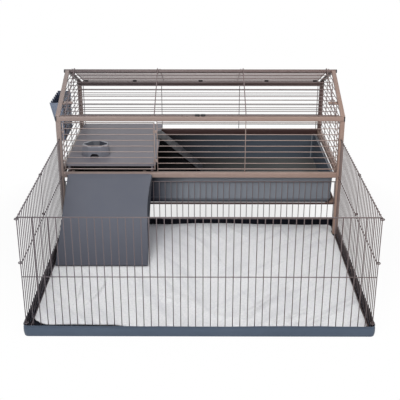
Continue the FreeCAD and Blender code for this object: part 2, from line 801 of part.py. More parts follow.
def pen_front_panel():
    panel = []
    span = (f"-{PEN_X}", PEN_X)
    for z, diameter in ((PEN_LOW, "edge_wire_diameter"), ("pen_mid_height", "wire_diameter"),
                        (PEN_TOP, "edge_wire_diameter")):
        panel.append(wire_x(diameter, span, f"{diameter} / 2 - pen_depth", z))
    gaps = spread(f"2 * {PEN_X}", "wire_pitch")
    for step in range(gaps + 1):
        x = f"-{PEN_X} + {step} * 2 * {PEN_X} / {gaps}"
        panel.append(wire_z("wire_diameter", x, "-pen_depth - wire_diameter / 2", (PEN_LOW, PEN_TOP)))
    node(group(panel), "pen_front_panel")


PEN_FRONT_Y = "(edge_wire_diameter + seat_gap + wire_diameter / 2 - pen_depth)"
PEN_REAR_Y = f"(-{FACE_Y} - seat_gap)"
PEN_JOINT_Y = f"(({PEN_FRONT_Y} + {PEN_REAR_Y}) / 2)"


def pen_side_panel(label, sign, front, rear):
    """Half of a side of the run: uprights outside, level wires inside."""
    panel = []
    plane = f"{sign} * {PEN_X}"
    for z, diameter in ((PEN_LOW, "edge_wire_diameter"), ("pen_side_mid_height", "wire_diameter"),
                        (PEN_TOP, "edge_wire_diameter")):
        x = f"{plane} - {sign} * {diameter} / 2"
        panel.append(wire_y(diameter, x, (f"{front} - wire_diameter / 2", f"{rear} + wire_diameter / 2"), z))
    gaps = spread(f"({rear}) - ({front})", "wire_pitch")
    for step in range(gaps + 1):
        y = f"{front} + {step} * (({rear}) - ({front})) / {gaps}"
        panel.append(wire_z("wire_diameter", f"{plane} + {sign} * wire_diameter / 2", y, (PEN_LOW, PEN_TOP)))
    node(group(panel), label)


def pen_side_panels():
    rear_end = f"({PEN_REAR_Y} - wire_diameter / 2)"
    for side, sign in SIDES.items():
        pen_side_panel(f"pen_{side}_front_panel", sign, PEN_FRONT_Y, f"({PEN_JOINT_Y} - pen_joint / 2)")
        pen_side_panel(f"pen_{side}_rear_panel", sign, f"({PEN_JOINT_Y} + pen_joint / 2)", rear_end)


def pen_back_panel():
    """A low wire panel fixed between the front posts that closes the run below the cage."""
    panel = []
    plane = f"({FACE_Y} - bottom_rail_size - seat_gap - edge_wire_diameter)"
    low = "(pen_back_low + edge_wire_diameter / 2)"
    high = "(pen_back_height - edge_wire_diameter / 2)"
    span = (f"-{INNER_X} + seat_gap", f"{INNER_X} - seat_gap")
    for z in (low, high):
        panel.append(wire_x("edge_wire_diameter", span, f"{plane} + edge_wire_diameter / 2", z))
    inside = f"({INNER_X} - panel_margin / 2)"
    gaps = spread(f"2 * {inside}", "wire_pitch")
    for step in range(gaps + 1):
        x = f"-{inside} + {step} * 2 * {inside} / {gaps}"
        panel.append(wire_z("wire_diameter", x, f"{plane} - wire_diameter / 2", (low, high)))
    node(group(panel), "pen_back_panel")


def pen_hinge_rings():
    """Rings that tie neighbouring uprights together at the corners and half way along each side."""
    rings = []
    bore = f"pen_joint + {across_corners('wire_diameter')} + 2 * seat_gap"
    levels = ("canvas_height + edge_wire_diameter", "pen_side_mid_height + edge_wire_diameter / 2",
              f"{PEN_TOP} - edge_wire_diameter - ring_height")
    for sign in SIDES.values():
        for z in levels:
            x = f"{sign} * ({PEN_X} + wire_diameter / 2)"
            rings.append(ring(bore, "ring_wall", "ring_height", x, PEN_JOINT_Y, z))
            corner_y = f"({PEN_FRONT_Y} - pen_depth - wire_diameter / 2) / 2"
            corner_bore = f"edge_wire_diameter + 2 * {across_corners('wire_diameter')} + 4 * seat_gap"
            corner_x = f"({sign} * {PEN_X} + {x}) / 2"
            rings.append(ring(corner_bore, "ring_wall", "ring_height", corner_x, corner_y, z))
    node(group(rings), "pen_hinge_rings")


# Soft floor of the run


CANVAS_WIDTH = "(cage_width + 2 * canvas_side + 2 * canvas_thickness)"
CANVAS_FRONT = "(-pen_depth - canvas_front - canvas_thickness)"
CANVAS_LENGTH = f"(canvas_rear - {CANVAS_FRONT})"


def rounded_block(width, depth, height, corner, x, y, z):
    """A block about a centre line with rounded upright edges."""
    body = new_body()
    feature(body, "Pad", rectangle(sketch(body, "XY_Plane"), width, depth), Length=height)
    round_edges(body, corner, upright_edge)
    return place(body, x, y, z)


def pen_floor_canvas():
    """A shallow open tray of coated cloth with rounded corners."""
    middle = f"({CANVAS_FRONT} + canvas_rear) / 2"
    wall = "canvas_thickness"
    outside = rounded_block(CANVAS_WIDTH, CANVAS_LENGTH, "canvas_height", "canvas_corner", "0", middle, "0")
    inside = rounded_block(f"{CANVAS_WIDTH} - 2 * {wall}", f"{CANVAS_LENGTH} - 2 * {wall}", "canvas_height",
                           f"canvas_corner - {wall}", "0", middle, wall)
    node(cut(outside, inside), "pen_floor_canvas")


def fleece_mat():
    front = "(mat_front - pen_depth)"
    length = f"(canvas_rear - canvas_thickness - mat_rear - {front})"
    width = f"2 * ({INNER_X} - mat_side)"
    middle = f"{front} + {length} / 2"
    mat = rounded_block(width, length, "mat_thickness", "mat_corner", "0", middle, CANVAS_TOP)
    node(mat, "fleece_mat")


# Plastics inside the cage


TRAY_BASE = "(bottom_rail_height + runner_wall + seat_gap)"


def leaning_pad(body, profile, height, angle, outwards):
    """A pad whose sides lean outwards or inwards on the way up."""
    pad = feature(body, "Pad", profile, Length=height)
    doc.recompute()
    levels = {f"Face{i}": face.CenterOfMass.z for i, face in enumerate(pad.Shape.Faces, start=1)}
    base, top = min(levels, key=levels.get), max(levels, key=levels.get)
    lean = body.newObject("PartDesign::Draft", "Lean")
    lean.Base = (pad, [name for name in levels if name not in (base, top)])
    lean.NeutralPlane = (pad, [base])
    lean.Reversed = outwards
    return bind(lean, Angle=angle)


def leaning_block(foot, height, angle, corner):
    """A block that widens from its foot, with rounded upright edges."""
    body = new_body()
    leaning_pad(body, rectangle(sketch(body, "XY_Plane"), *foot), height, angle, True)
    round_edges(body, corner, upright_edge)
    return body


def litter_tray():
    """A drafted tray with an outward rim and a rib round its foot."""
    width = f"(2 * {INNER_X} - 2 * tray_side)"
    depth = f"({REAR_Y} + {FACE_Y} - tray_front - tray_rear)"
    middle = f"(tray_front - {FACE_Y} + {depth} / 2)"
    slope = "(tray_draft / tray_height)"
    foot = [f"({size} - 2 * tray_rim - 2 * tray_draft)" for size in (width, depth)]
    outside = leaning_block(foot, "tray_height", f"atan({slope})", "tray_corner")
    place(outside, "0", middle, TRAY_BASE)
    rim_z = f"{TRAY_BASE} + tray_height - tray_rim_tall"
    rim = rounded_block(width, depth, "tray_rim_tall", "tray_corner + tray_rim", "0", middle, rim_z)
    rib_size = [f"({size} + 2 * {slope} * (tray_rib_height + tray_rib_tall) + 2 * tray_rib)" for size in foot]
    rib_z = f"{TRAY_BASE} + tray_rib_height"
    rib = rounded_block(*rib_size, "tray_rib_tall", "tray_corner", "0", middle, rib_z)
    core_foot = [f"({size} + 2 * {slope} * tray_wall - 2 * tray_wall)" for size in foot]
    core = leaning_block(core_foot, "tray_height", f"atan({slope})", "tray_corner - tray_wall")
    place(core, "0", middle, f"{TRAY_BASE} + tray_wall")
    node(cut(fuse(outside, rim, rib), core), "litter_tray")


PLATFORM_LEFT = f"(platform_side - {INNER_X})"
PLATFORM_RIGHT = f"({PLATFORM_LEFT} + platform_width)"
PLATFORM_BASE = "(platform_top - platform_tall)"
BEARERS_X = (f"({PLATFORM_LEFT} + bearer_inset)", f"({PLATFORM_RIGHT} - bearer_inset)")
BOWL_BASE = "(platform_top + seat_gap)"


def platform():
    """A shelf with a turned-down edge and a foot over each end of its bearers."""
    middle = f"({PLATFORM_LEFT} + {PLATFORM_RIGHT}) / 2"
    depth = f"({BAY_DEPTH} - 2 * platform_end)"
    shelf = rounded_block("platform_width", depth, "platform_tall",
                          "platform_corner", middle, RIDGE_Y, PLATFORM_BASE)
    level = number("platform_tall - platform_edge / 2")
    bevel_edges(shelf, "platform_edge", lambda edge: edge.CenterOfMass.z > level)
    thin = "2 * platform_wall"
    under = rounded_block(f"platform_width - {thin}", f"{depth} - {thin}", "platform_tall - platform_wall",
                          "platform_corner - platform_wall", middle, RIDGE_Y, PLATFORM_BASE)
    feet = []
    inset = "(platform_end + platform_foot)"
    for x in BEARERS_X:
        across = (f"{x} - platform_foot / 2", f"{x} + platform_foot / 2")
        for y in (f"{FACE_Y} + {inset}", f"{REAR_Y} - {FACE_Y} - {inset}"):
            along = (f"{y} - platform_foot / 2", f"{y} + platform_foot / 2")
            feet.append(box(across, along, ("sill_height", "platform_top - platform_wall / 2")))
    node(fuse(cut(shelf, under), *feet), "platform")


def platform_bearers():
    """Tubes between the front and rear sills that the platform's feet stand on."""
    bearers = []
    z = "sill_height - bearer_size / 2"
    for x in BEARERS_X:
        bearers.append(bar("Y", BAY_DEPTH, "bearer_size", "bearer_size", x, FACE_Y, z, "tube_wall"))
    node(group(bearers), "platform_bearers")


def food_bowl():
    """An eight-sided bowl with sides that lean in, a sloped well and an arch cut into its front."""
    body = new_body()
    foot = eight_corners(sketch(body, "XY_Plane"), "bowl_width", "bowl_depth", "bowl_corner")
    leaning_pad(body, foot, "bowl_height", "atan(bowl_draft / bowl_height)", False)
    arch = outline(sketch(body, "XZ_Plane"), [
        ("-bowl_arch / 2", "0"),
        ("bowl_arch / 2", "0"),
        ("bowl_arch / 2", "bowl_arch_tall / 2"),
        ("bowl_arch_top_share * bowl_arch / 2", "bowl_arch_tall"),
        ("-bowl_arch_top_share * bowl_arch / 2", "bowl_arch_tall"),
        ("-bowl_arch / 2", "bowl_arch_tall / 2"),
    ])
    feature(body, "Pocket", arch, Length="bowl_depth", Reversed=True)
    place(body, "-bowl_from_middle", "bowl_from_front", BOWL_BASE)
    well = new_body()
    narrow = "(2 * bowl_wall + 4 * bowl_draft)"
    mouth = (f"bowl_width - {narrow}", f"bowl_depth - {narrow}")
    inside = eight_corners(sketch(well, "XY_Plane"), *mouth, "bowl_corner")
    leaning_pad(well, inside, "bowl_height", "atan(bowl_draft / (bowl_height - bowl_floor))", True)
    place(well, "-bowl_from_middle", "bowl_from_front", f"{BOWL_BASE} + bowl_floor")
    node(cut(body, well), "food_bowl")


def inner_ramp():
    """A board that hooks over the platform's edge and stands on the tray's floor, with treads across it."""
    body = new_body()
    edge = f"({PLATFORM_RIGHT} + seat_gap)"
    high = "(platform_top + seat_gap)"
    low = f"({TRAY_BASE} + tray_wall + seat_gap)"
    toe = f"({edge} + inner_ramp_reach)"
    fall = f"({high} + inner_ramp_hook - {low} - inner_ramp_thick)"
    profile = outline(sketch(body, "XZ_Plane"), [
        (f"{edge} - inner_ramp_lip", high),
        (edge, high),
        (edge, f"{high} - inner_ramp_thick"),
        (f"{toe} - inner_ramp_thick", low),
        (toe, low),
        (toe, f"{low} + inner_ramp_thick"),
        (f"{edge} + inner_ramp_thick", f"{high} + inner_ramp_hook"),
        (f"{edge} - inner_ramp_lip", f"{high} + inner_ramp_hook"),
    ])
    feature(body, "Pad", profile, Length="inner_ramp_width", Reversed=True)
    slope = f"({fall} / (inner_ramp_reach - inner_ramp_thick))"
    count = spread("inner_ramp_reach", "wire_pitch") - 1
    treads = sketch(body, "XZ_Plane")
    for step in range(1, count + 1):
        x = f"({edge} + {step} * inner_ramp_reach / {count + 1})"
        z = f"({high} + inner_ramp_hook - ({x} - {edge} - inner_ramp_thick) * {slope})"
        drop = f"tread_width * {slope}"
        outline(treads, [
            (x, f"{z} - inner_ramp_thick / 2"),
            (f"{x} + tread_width", f"{z} - {drop} - inner_ramp_thick / 2"),
            (f"{x} + tread_width", f"{z} - {drop} + tread_tall"),
            (x, f"{z} + tread_tall"),
        ])
    feature(body, "Pad", treads, Length="inner_ramp_width", Reversed=True)
    node(place(body, y="inner_ramp_from_front"), "inner_ramp")


# Ramp from the cage into the run


ROD_Y = f"(-{FACE_Y} - ramp_rod_front)"
ROD_Z = "(sill_height - ramp_rod_diameter / 2)"
RAMP_X = "(-exit_ramp_left)"
RAMP_TOE_Y = f"({ROD_Y} - exit_ramp_reach)"
RAMP_BASE = f"({MAT_TOP} + seat_gap)"


def ramp_profile(item, grow):
    """Side view of the ramp: a board bent a little outwards, grown all round for its cover."""
    top_y = f"({ROD_Y} - ramp_rod_diameter - hook_wall - 2 * seat_gap + {grow})"
    top_z = f"({ROD_Z} + {grow})"
    low_z = f"({RAMP_BASE} + exit_ramp_cover - {grow})"
    toe = f"({RAMP_TOE_Y} + exit_ramp_cover - {grow})"
    thick = f"(exit_ramp_thick + 2 * {grow})"
    bend_y = f"({top_y} + exit_ramp_bend_share * ({toe} - {top_y}) - exit_ramp_bow_out)"
    bend_z = f"({top_z} + exit_ramp_bend_share * ({low_z} - {top_z}) + exit_ramp_bow_up)"
    return outline(item, [
        (top_y, top_z),
        (bend_y, bend_z),
        (toe, f"{low_z} + {thick} / 2"),
        (toe, low_z),
        (f"{toe} + {thick}", low_z),
        (f"{bend_y} + {thick} * exit_ramp_under_share", f"{bend_z} - {thick}"),
        (top_y, f"{top_z} - {thick}"),
    ])


def exit_ramp():
    board = new_body()
    wood = ramp_profile(sketch(board, "YZ_Plane"), "0")
    feature(board, "Pad", wood, Length="exit_ramp_width - 2 * exit_ramp_cover")
    node(place(board, f"{RAMP_X} + exit_ramp_cover"), "exit_ramp_board")
    cover = new_body()
    skin = ramp_profile(sketch(cover, "YZ_Plane"), "exit_ramp_cover")
    feature(cover, "Pad", skin, Length="exit_ramp_width")
    core = ramp_profile(sketch(cover, "YZ_Plane", "exit_ramp_cover"), "0")
    feature(cover, "Pocket", core, Length="exit_ramp_width - 2 * exit_ramp_cover", Reversed=True)
    node(place(cover, RAMP_X), "exit_ramp_cover")


def ramp_rod():
    """The rod that the ramp hangs from, with an ear at each end that joins it to the cover's top edge."""
    ends = (RAMP_X, f"{RAMP_X} + exit_ramp_width")
    parts = [wire_x("ramp_rod_diameter", ends, ROD_Y, ROD_Z)]
    back = f"{ROD_Y} - ramp_rod_diameter - hook_wall - 2 * seat_gap + exit_ramp_cover"
    for x in (ends[0], f"{ends[1]} - ramp_ear"):
        z = (f"{ROD_Z} - ramp_rod_diameter / 2", f"{ROD_Z} + exit_ramp_cover")
        parts.append(box((x, f"{x} + ramp_ear"), (back, ROD_Y), z))
    node(fuse(*parts), "ramp_rod")


def ramp_hooks():
    """Strap hooks over the front sill, each with a cradle in front that the rod turns in."""
    hooks = []
    room = f"({across_corners('ramp_rod_diameter')} / 2 + seat_gap)"
    for x in (f"{RAMP_X} + hook_inset", f"{RAMP_X} + exit_ramp_width - hook_inset - hook_width"):
        body = new_body()
        top = "(sill_height + seat_gap)"
        back = f"({FACE_Y} + seat_gap)"
        front = f"({ROD_Y} + {room})"
        lip = f"({ROD_Y} - {room})"
        base = f"({ROD_Z} - {room})"
        profile = outline(sketch(body, "YZ_Plane"), [
            (f"{back} + hook_wall", f"{top} + hook_wall"),
            (f"{back} + hook_wall", f"{top} - hook_leg"),
            (back, f"{top} - hook_leg"),
            (back, top),
            (f"-{FACE_Y} - seat_gap", top),
            (f"-{FACE_Y} - seat_gap", f"{base} - hook_wall"),
            (f"{lip} - hook_wall", f"{base} - hook_wall"),
            (f"{lip} - hook_wall", ROD_Z),
            (lip, ROD_Z),
            (lip, base),
            (front, base),
            (front, f"{top} + hook_wall"),
        ])
        feature(body, "Pad", profile, Length="hook_width")
        hooks.append(place(body, x))
    node(group(hooks), "ramp_hooks")


# Hay rack on the left end wall


# The rack hangs on the highest wire that keeps it clear of both rafters.
RACK_ROOM = f"min({under_front('rack_from_front')}; {under_rear('rack_from_front + rack_length')})"
RACK_WIRE_STEP = int(number(f"({RACK_ROOM} - rack_over_wire - rack_below_rafter - {WALL_LOW}) / wire_pitch"))
# Teeth along the rack's lip.
RACK_TEETH = 6
RACK_WIRE_Z = f"({WALL_LOW} + {RACK_WIRE_STEP} * wire_pitch)"
RACK_BACK = f"(-{POST_X} - wire_diameter - seat_gap)"
RACK_TOP = f"({RACK_WIRE_Z} + rack_over_wire)"


def hay_rack():
    """A tapered open-topped box, its outer lip cut into teeth."""
    body = new_body()
    low = f"({RACK_TOP} - rack_height)"
    shell = outline(sketch(body, "XZ_Plane"), [
        (RACK_BACK, RACK_TOP),
        (f"{RACK_BACK} - rack_top_depth", RACK_TOP),
        (f"{RACK_BACK} - rack_foot_depth", low),
        (RACK_BACK, low),
    ])
    feature(body, "Pad", shell, Length="rack_length", Reversed=True)
    hollow = outline(sketch(body, "XZ_Plane", "-rack_wall"), [
        (f"{RACK_BACK} - rack_wall", f"{RACK_TOP} + rack_wall"),
        (f"{RACK_BACK} - rack_top_depth + rack_wall", f"{RACK_TOP} + rack_wall"),
        (f"{RACK_BACK} - rack_top_depth + rack_wall", RACK_TOP),
        (f"{RACK_BACK} - rack_foot_depth + rack_wall", f"{low} + rack_wall"),
        (f"{RACK_BACK} - rack_wall", f"{low} + rack_wall"),
    ])
    feature(body, "Pocket", hollow, Length="rack_length - 2 * rack_wall")
    teeth = sketch(body, "YZ_Plane", f"{RACK_BACK} - rack_top_depth - rack_wall")
    pitch = f"rack_length / {RACK_TEETH}"
    width = f"rack_tooth_share * {pitch}"
    for step in range(RACK_TEETH):
        start = f"({step} + (1 - rack_tooth_share) / 2) * {pitch}"
        outline(teeth, [
            (start, f"{RACK_TOP} + rack_wall"),
            (start, RACK_TOP),
            (f"{start} + {width} / 2", f"{RACK_TOP} - rack_tooth"),
            (f"{start} + {width}", RACK_TOP),
            (f"{start} + {width}", f"{RACK_TOP} + rack_wall"),
        ])
    feature(body, "Pocket", teeth, Length="rack_tooth + rack_wall", Reversed=True)
    node(place(body, y="rack_from_front"), "hay_rack")


def hay_rack_hooks():
    """Hooks at the rack's back that hang over a level wire of the end wall."""
    hooks = []
    wire_top = f"({RACK_WIRE_Z} + wire_diameter / 2 + seat_gap)"
    inside = f"(-{POST_X} + wire_diameter + seat_gap)"
    far_hook = "rack_from_front + rack_length - rack_hook_inset - rack_hook_width"
    for y in ("rack_from_front + rack_hook_inset", far_hook):
        body = new_body()
        profile = outline(sketch(body, "XZ_Plane"), [
            (RACK_BACK, wire_top),
            (inside, wire_top),
            (inside, f"{wire_top} - rack_hook_leg"),
            (f"{inside} + rack_hook_wall", f"{wire_top} - rack_hook_leg"),
            (f"{inside} + rack_hook_wall", f"{wire_top} + rack_hook_wall"),
            (RACK_BACK, f"{wire_top} + rack_hook_wall"),
        ])
        feature(body, "Pad", profile, Length="rack_hook_width", Reversed=True)
        hooks.append(place(body, y=y))
    node(group(hooks), "hay_rack_hooks")


posts()
post_feet()
long_rails()
rail_end_caps()
rafters()
sills()
tray_carriers()
rear_wall_panel()
front_fixed_panel()
front_door()
door_hinge_eyes()
door_catches()
end_panels()
roof_hatch()
rear_roof_panel()
hatch_brackets()
roof_clips()
pen_front_panel()
pen_side_panels()
pen_back_panel()
pen_hinge_rings()
pen_floor_canvas()
fleece_mat()
litter_tray()
platform()
platform_bearers()
food_bowl()
inner_ramp()
exit_ramp()
ramp_rod()
ramp_hooks()
hay_rack()
hay_rack_hooks()
doc.recompute()

failed = [item.Name for item in doc.Objects if {"Invalid", "Error"} & set(item.State)]
if failed:
    raise RuntimeError(f"failed to build: {failed}")
for item in nodes:
    if item.Shape.isNull() or not item.Shape.isValid():
        raise RuntimeError(f"{item.Label} has no valid shape")

os.makedirs("parts", exist_ok=True)
for item in nodes:
    item.Shape.exportStep(f"parts/{item.Label}.step")
print(len(nodes), "nodes,", sum(len(item.Shape.Solids) for item in nodes), "solids")
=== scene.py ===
import json
import math

import bpy
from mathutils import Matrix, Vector, noise

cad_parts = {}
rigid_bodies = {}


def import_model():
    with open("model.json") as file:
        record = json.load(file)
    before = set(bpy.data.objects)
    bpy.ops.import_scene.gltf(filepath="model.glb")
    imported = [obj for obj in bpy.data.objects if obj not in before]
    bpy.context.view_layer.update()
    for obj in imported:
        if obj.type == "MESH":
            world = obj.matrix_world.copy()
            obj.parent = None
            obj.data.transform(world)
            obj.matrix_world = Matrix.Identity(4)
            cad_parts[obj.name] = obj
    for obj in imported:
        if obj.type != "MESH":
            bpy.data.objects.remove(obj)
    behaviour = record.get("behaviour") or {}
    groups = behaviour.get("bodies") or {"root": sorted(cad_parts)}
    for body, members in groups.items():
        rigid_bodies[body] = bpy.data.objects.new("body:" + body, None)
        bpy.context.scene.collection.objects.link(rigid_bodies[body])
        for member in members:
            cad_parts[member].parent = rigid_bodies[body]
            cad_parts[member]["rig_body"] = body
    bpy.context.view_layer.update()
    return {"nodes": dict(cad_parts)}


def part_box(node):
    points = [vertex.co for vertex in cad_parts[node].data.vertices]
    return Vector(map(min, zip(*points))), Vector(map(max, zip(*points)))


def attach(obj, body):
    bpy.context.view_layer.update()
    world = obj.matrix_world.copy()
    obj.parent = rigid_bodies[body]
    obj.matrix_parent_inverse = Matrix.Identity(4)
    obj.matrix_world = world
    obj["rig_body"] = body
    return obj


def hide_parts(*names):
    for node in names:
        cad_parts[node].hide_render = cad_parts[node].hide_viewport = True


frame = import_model()
nodes = frame["nodes"]
print("frame loaded:", len(nodes), "nodes")


def tint(red, green, blue):
    # screen colour (0 to 255) to the linear colour that shaders take
    def linear(part):
        share = part / 255
        return share / 12.92 if share <= 0.04045 else ((share + 0.055) / 1.055) ** 2.4
    return (linear(red), linear(green), linear(blue), 1.0)


class Sock:
    # one output socket; maths on it adds Math nodes
    def __init__(self, tree, out):
        self.tree, self.out = tree, out

    def node(self, kind, settings, links, out=0):
        made = self.tree.nodes.new("ShaderNode" + kind)
        for key, value in settings.items():
            if key == "stops":
                ramp = made.color_ramp
                while len(ramp.elements) < len(value):
                    ramp.elements.new(1)
                for element, (spot, colour) in zip(ramp.elements, value):
                    element.position, element.color = spot, colour
            else:
                setattr(made, key, value)
        for key, value in links.items():
            if isinstance(value, Sock):
                self.tree.links.new(value.out, made.inputs[key])
            else:
                made.inputs[key].default_value = value
        return Sock(self.tree, made.outputs[out])

    def calc(self, operation, first, second=0.0):
        return self.node("Math", {"operation": operation}, {0: first, 1: second})

    def __add__(self, other):
        return self.calc("ADD", self, other)

    def __sub__(self, other):
        return self.calc("SUBTRACT", self, other)

    def __rsub__(self, other):
        return self.calc("SUBTRACT", other, self)

    def __mul__(self, other):
        return self.calc("MULTIPLY", self, other)

    def __truediv__(self, other):
        return self.calc("DIVIDE", self, other)

    __radd__ = __add__
    __rmul__ = __mul__

    def clamped(self):
        return self.node("Clamp", {}, {"Value": self})


def startMaterial(name):
    material = bpy.data.materials.new(name)
    material.use_nodes = True
    tree = material.node_tree
    tree.nodes.clear()
    place = tree.nodes.new("ShaderNodeTexCoord")
    return material, Sock(tree, place.outputs["Object"])


def noiseOf(place, scale, detail=3.0, rough=0.5):
    return place.node("TexNoise", {}, {"Vector": place, "Scale": scale, "Detail": detail, "Roughness": rough})


def bandsOf(place, axis, pitch):
    # soft stripes, one per pitch in metres
    return place.node("TexWave", {"bands_direction": axis}, {"Vector": place, "Scale": math.pi / 10 / pitch})


def partOf(place, axis):
    return place.node("SeparateXYZ", {}, {"Vector": place}, out="XYZ".index(axis))


def blendOf(factor, first, second):
    return factor.node("Mix", {"data_type": "RGBA"}, {0: factor, 6: first, 7: second}, out=2)


def closeMaterial(place, colour, roughness, height, depth, strength, **fixed):
    links = {"Base Color": colour, "Roughness": roughness}
    links.update({key.replace("_", " "): value for key, value in fixed.items()})
    links["Normal"] = place.node("Bump", {}, {"Strength": strength, "Distance": depth, "Height": height})
    shader = place.node("BsdfPrincipled", {}, links)
    end = place.tree.nodes.new("ShaderNodeOutputMaterial")
    place.tree.links.new(shader.out, end.inputs["Surface"])


# powder coat, greyer at the left end and browner at the right: front tubes, rear tubes in painted shade and low
# rails in painted shade, then the wires of the front, paler with a painted highlight, the run, the hatch, the
# ends, the rear roof and the rear wall
tubeLook = {"cool": tint(144, 129, 124), "warm": tint(150, 124, 112), "pale": tint(166, 144, 134), "rub": 0.4}
backShadeLook = {"cool": tint(90, 78, 79), "warm": tint(100, 78, 74), "pale": tint(110, 93, 89), "rub": 0.3}
railShadeLook = {"cool": tint(64, 50, 51), "warm": tint(74, 54, 52), "pale": tint(90, 70, 67), "rub": 0.3,
            "coat": 0.0, "shine": 0.15}
faceHighlightLook = {"cool": tint(154, 140, 136), "warm": tint(158, 136, 127), "pale": tint(174, 158, 151), "rub": 0.3}
penLook = {"cool": tint(88, 80, 85), "warm": tint(94, 80, 79), "pale": tint(112, 101, 101), "rub": 0.3}
hatchLook = {"cool": tint(114, 102, 104), "warm": tint(116, 98, 95), "pale": tint(138, 124, 121), "rub": 0.3}
endLook = {"cool": tint(84, 73, 74), "warm": tint(110, 85, 78), "pale": tint(120, 101, 96), "rub": 0.3}
roofLook = {"cool": tint(134, 118, 117), "warm": tint(138, 116, 112), "pale": tint(154, 138, 134), "rub": 0.3}
rearLook = {"cool": tint(64, 54, 57), "warm": tint(70, 54, 53), "pale": tint(88, 75, 74), "rub": 0.3}

# finish of the coat; a noise is its scale, detail and roughness
paintSpec = {"sideRate": 0.8, "sideScale": 3.0, "sideCloud": 0.5, "wear": (42.0, 4.0), "wearFrom": 0.56,
             "wearRate": 6, "peel": (520.0, 2.0), "depth": 0.0002, "strength": 0.25, "rough": 0.36,
             "roughMore": 0.16, "roughScale": 25.0, "coat": 0.12, "coatRough": 0.3, "shine": 0.5}


def makePaint(name, look):
    material, place = startMaterial(name)
    cloud = (noiseOf(place, paintSpec["sideScale"]) - 0.5) * paintSpec["sideCloud"]
    side = (partOf(place, "X") * paintSpec["sideRate"] + 0.5 + cloud).clamped()
    base = blendOf(side, look["cool"], look["warm"])
    worn = (noiseOf(place, *paintSpec["wear"]) - paintSpec["wearFrom"]) * paintSpec["wearRate"]
    colour = blendOf(worn.clamped() * look["rub"], base, look["pale"])
    rough = paintSpec["rough"] + paintSpec["roughMore"] * noiseOf(place, paintSpec["roughScale"])
    peel = noiseOf(place, *paintSpec["peel"])
    closeMaterial(place, colour, rough, peel, paintSpec["depth"], paintSpec["strength"],
                  Coat_Weight=look.get("coat", paintSpec["coat"]), Coat_Roughness=paintSpec["coatRough"],
                  Specular_IOR_Level=look.get("shine", paintSpec["shine"]))
    return material


# moulded plastic: clouded, finely grained and a little scuffed
plasticSpec = {"cloud": (6.0, 4.0), "grain": (650.0, 3.0, 0.6), "scuff": (70.0, 5.0, 0.7), "scuffFrom": 0.6,
               "scuffRate": 5, "rough": 0.42, "roughGrain": 0.14, "roughScuff": 0.12, "depth": 0.00025,
               "strength": 0.3}


def makePlastic(name, first, second, shine=0.45):
    material, place = startMaterial(name)
    base = blendOf(noiseOf(place, *plasticSpec["cloud"]), first, second)
    fine = noiseOf(place, *plasticSpec["grain"])
    scuff = (noiseOf(place, *plasticSpec["scuff"]) - plasticSpec["scuffFrom"]) * plasticSpec["scuffRate"]
    rough = plasticSpec["rough"] + plasticSpec["roughGrain"] * fine
    rough = rough + plasticSpec["roughScuff"] * scuff.clamped()
    closeMaterial(place, base, rough, fine, plasticSpec["depth"], plasticSpec["strength"],
                  Specular_IOR_Level=shine)
    return material


# tray walls with painted shade: dark at the end in the shade of the shelf and the ramps, and along the foot
wallSpec = {"cloudScale": 5.0, "cloudMix": 0.2, "footLight": 0.25, "footSpan": 0.018,
            "grain": (600.0, 3.0, 0.6), "rough": 0.45, "roughGrain": 0.14, "depth": 0.00025, "strength": 0.3,
            "shine": 0.12}


def makeTrayWall(name, dark, lit, start, span, foot):
    material, place = startMaterial(name)
    cloud = (noiseOf(place, wallSpec["cloudScale"]) - 0.5) * wallSpec["cloudMix"]
    paintedLight = ((partOf(place, "X") - start) / span + cloud).clamped()
    height = (partOf(place, "Z") - foot) / wallSpec["footSpan"]
    paintedLight = paintedLight * (wallSpec["footLight"] + height).clamped()
    fine = noiseOf(place, *wallSpec["grain"])
    rough = wallSpec["rough"] + wallSpec["roughGrain"] * fine
    closeMaterial(place, blendOf(paintedLight, dark, lit), rough, fine, wallSpec["depth"], wallSpec["strength"],
                  Specular_IOR_Level=wallSpec["shine"])
    return material


# woven cloth; where a fall is given, painted shade darkens it towards the low end of one axis
clothSpec = {"cloud": (9.0, 4.0), "threadMix": 0.25, "roughThread": 0.12, "depth": 0.0003, "strength": 0.35,
             "shine": 0.15}


def makeCloth(name, first, second, pitch, rough, sheen, fall=None):
    material, place = startMaterial(name)
    weave = bandsOf(place, "X", pitch) + bandsOf(place, "Y", pitch) + bandsOf(place, "Z", pitch)
    cloud = noiseOf(place, *clothSpec["cloud"])
    thread = (weave / 3).clamped()
    mixed = cloud * (1 - clothSpec["threadMix"]) + thread * clothSpec["threadMix"]
    base = blendOf(mixed.clamped(), first, second)
    if fall:  # darker towards the low end of one axis
        axis, low, high, dark = fall
        base = blendOf(((partOf(place, axis) - low) / (high - low)).clamped(), dark, base)
    closeMaterial(place, base, rough + clothSpec["roughThread"] * thread, weave, clothSpec["depth"],
                  clothSpec["strength"], Sheen_Weight=sheen, Specular_IOR_Level=clothSpec["shine"])
    return material


# white pile with painted shade along soft grey creases that run two ways, and a painted shadow beside the ramp
fleeceSpec = {"low": (226, 227, 231), "high": (253, 253, 254), "drops": (0, 9, 18, 28),
              "pile": (330.0, 4.0, 0.7), "tuft": (140.0, 3.0), "cloud": (5.0, 3.0), "cloudMix": 0.4,
              "tuftMix": 1.8, "level": 0.3, "tuftRise": 1.5,
              "creaseTurns": ((-58, 0.5), (44, -0.5)), "creaseSize": (0.4, 0.06, 1.0), "creaseTwist": 0.7,
              "creaseMiddle": 0.12, "creaseFade": -4, "creaseStart": 0.6, "creaseRate": 4, "creaseMix": 0.5,
              "creaseRise": 3, "creaseTone": tint(200, 201, 208),
              "shadeSpanX": 0.2, "shadeFromY": -0.36, "shadeSpanY": 0.3, "shadeMix": 0.75,
              "shadeTone": tint(176, 177, 186), "rough": 0.92, "roughPile": 0.06, "depth": 0.0022,
              "strength": 0.7, "sheen": 0.25, "sheenRough": 0.6, "shine": 0.15}


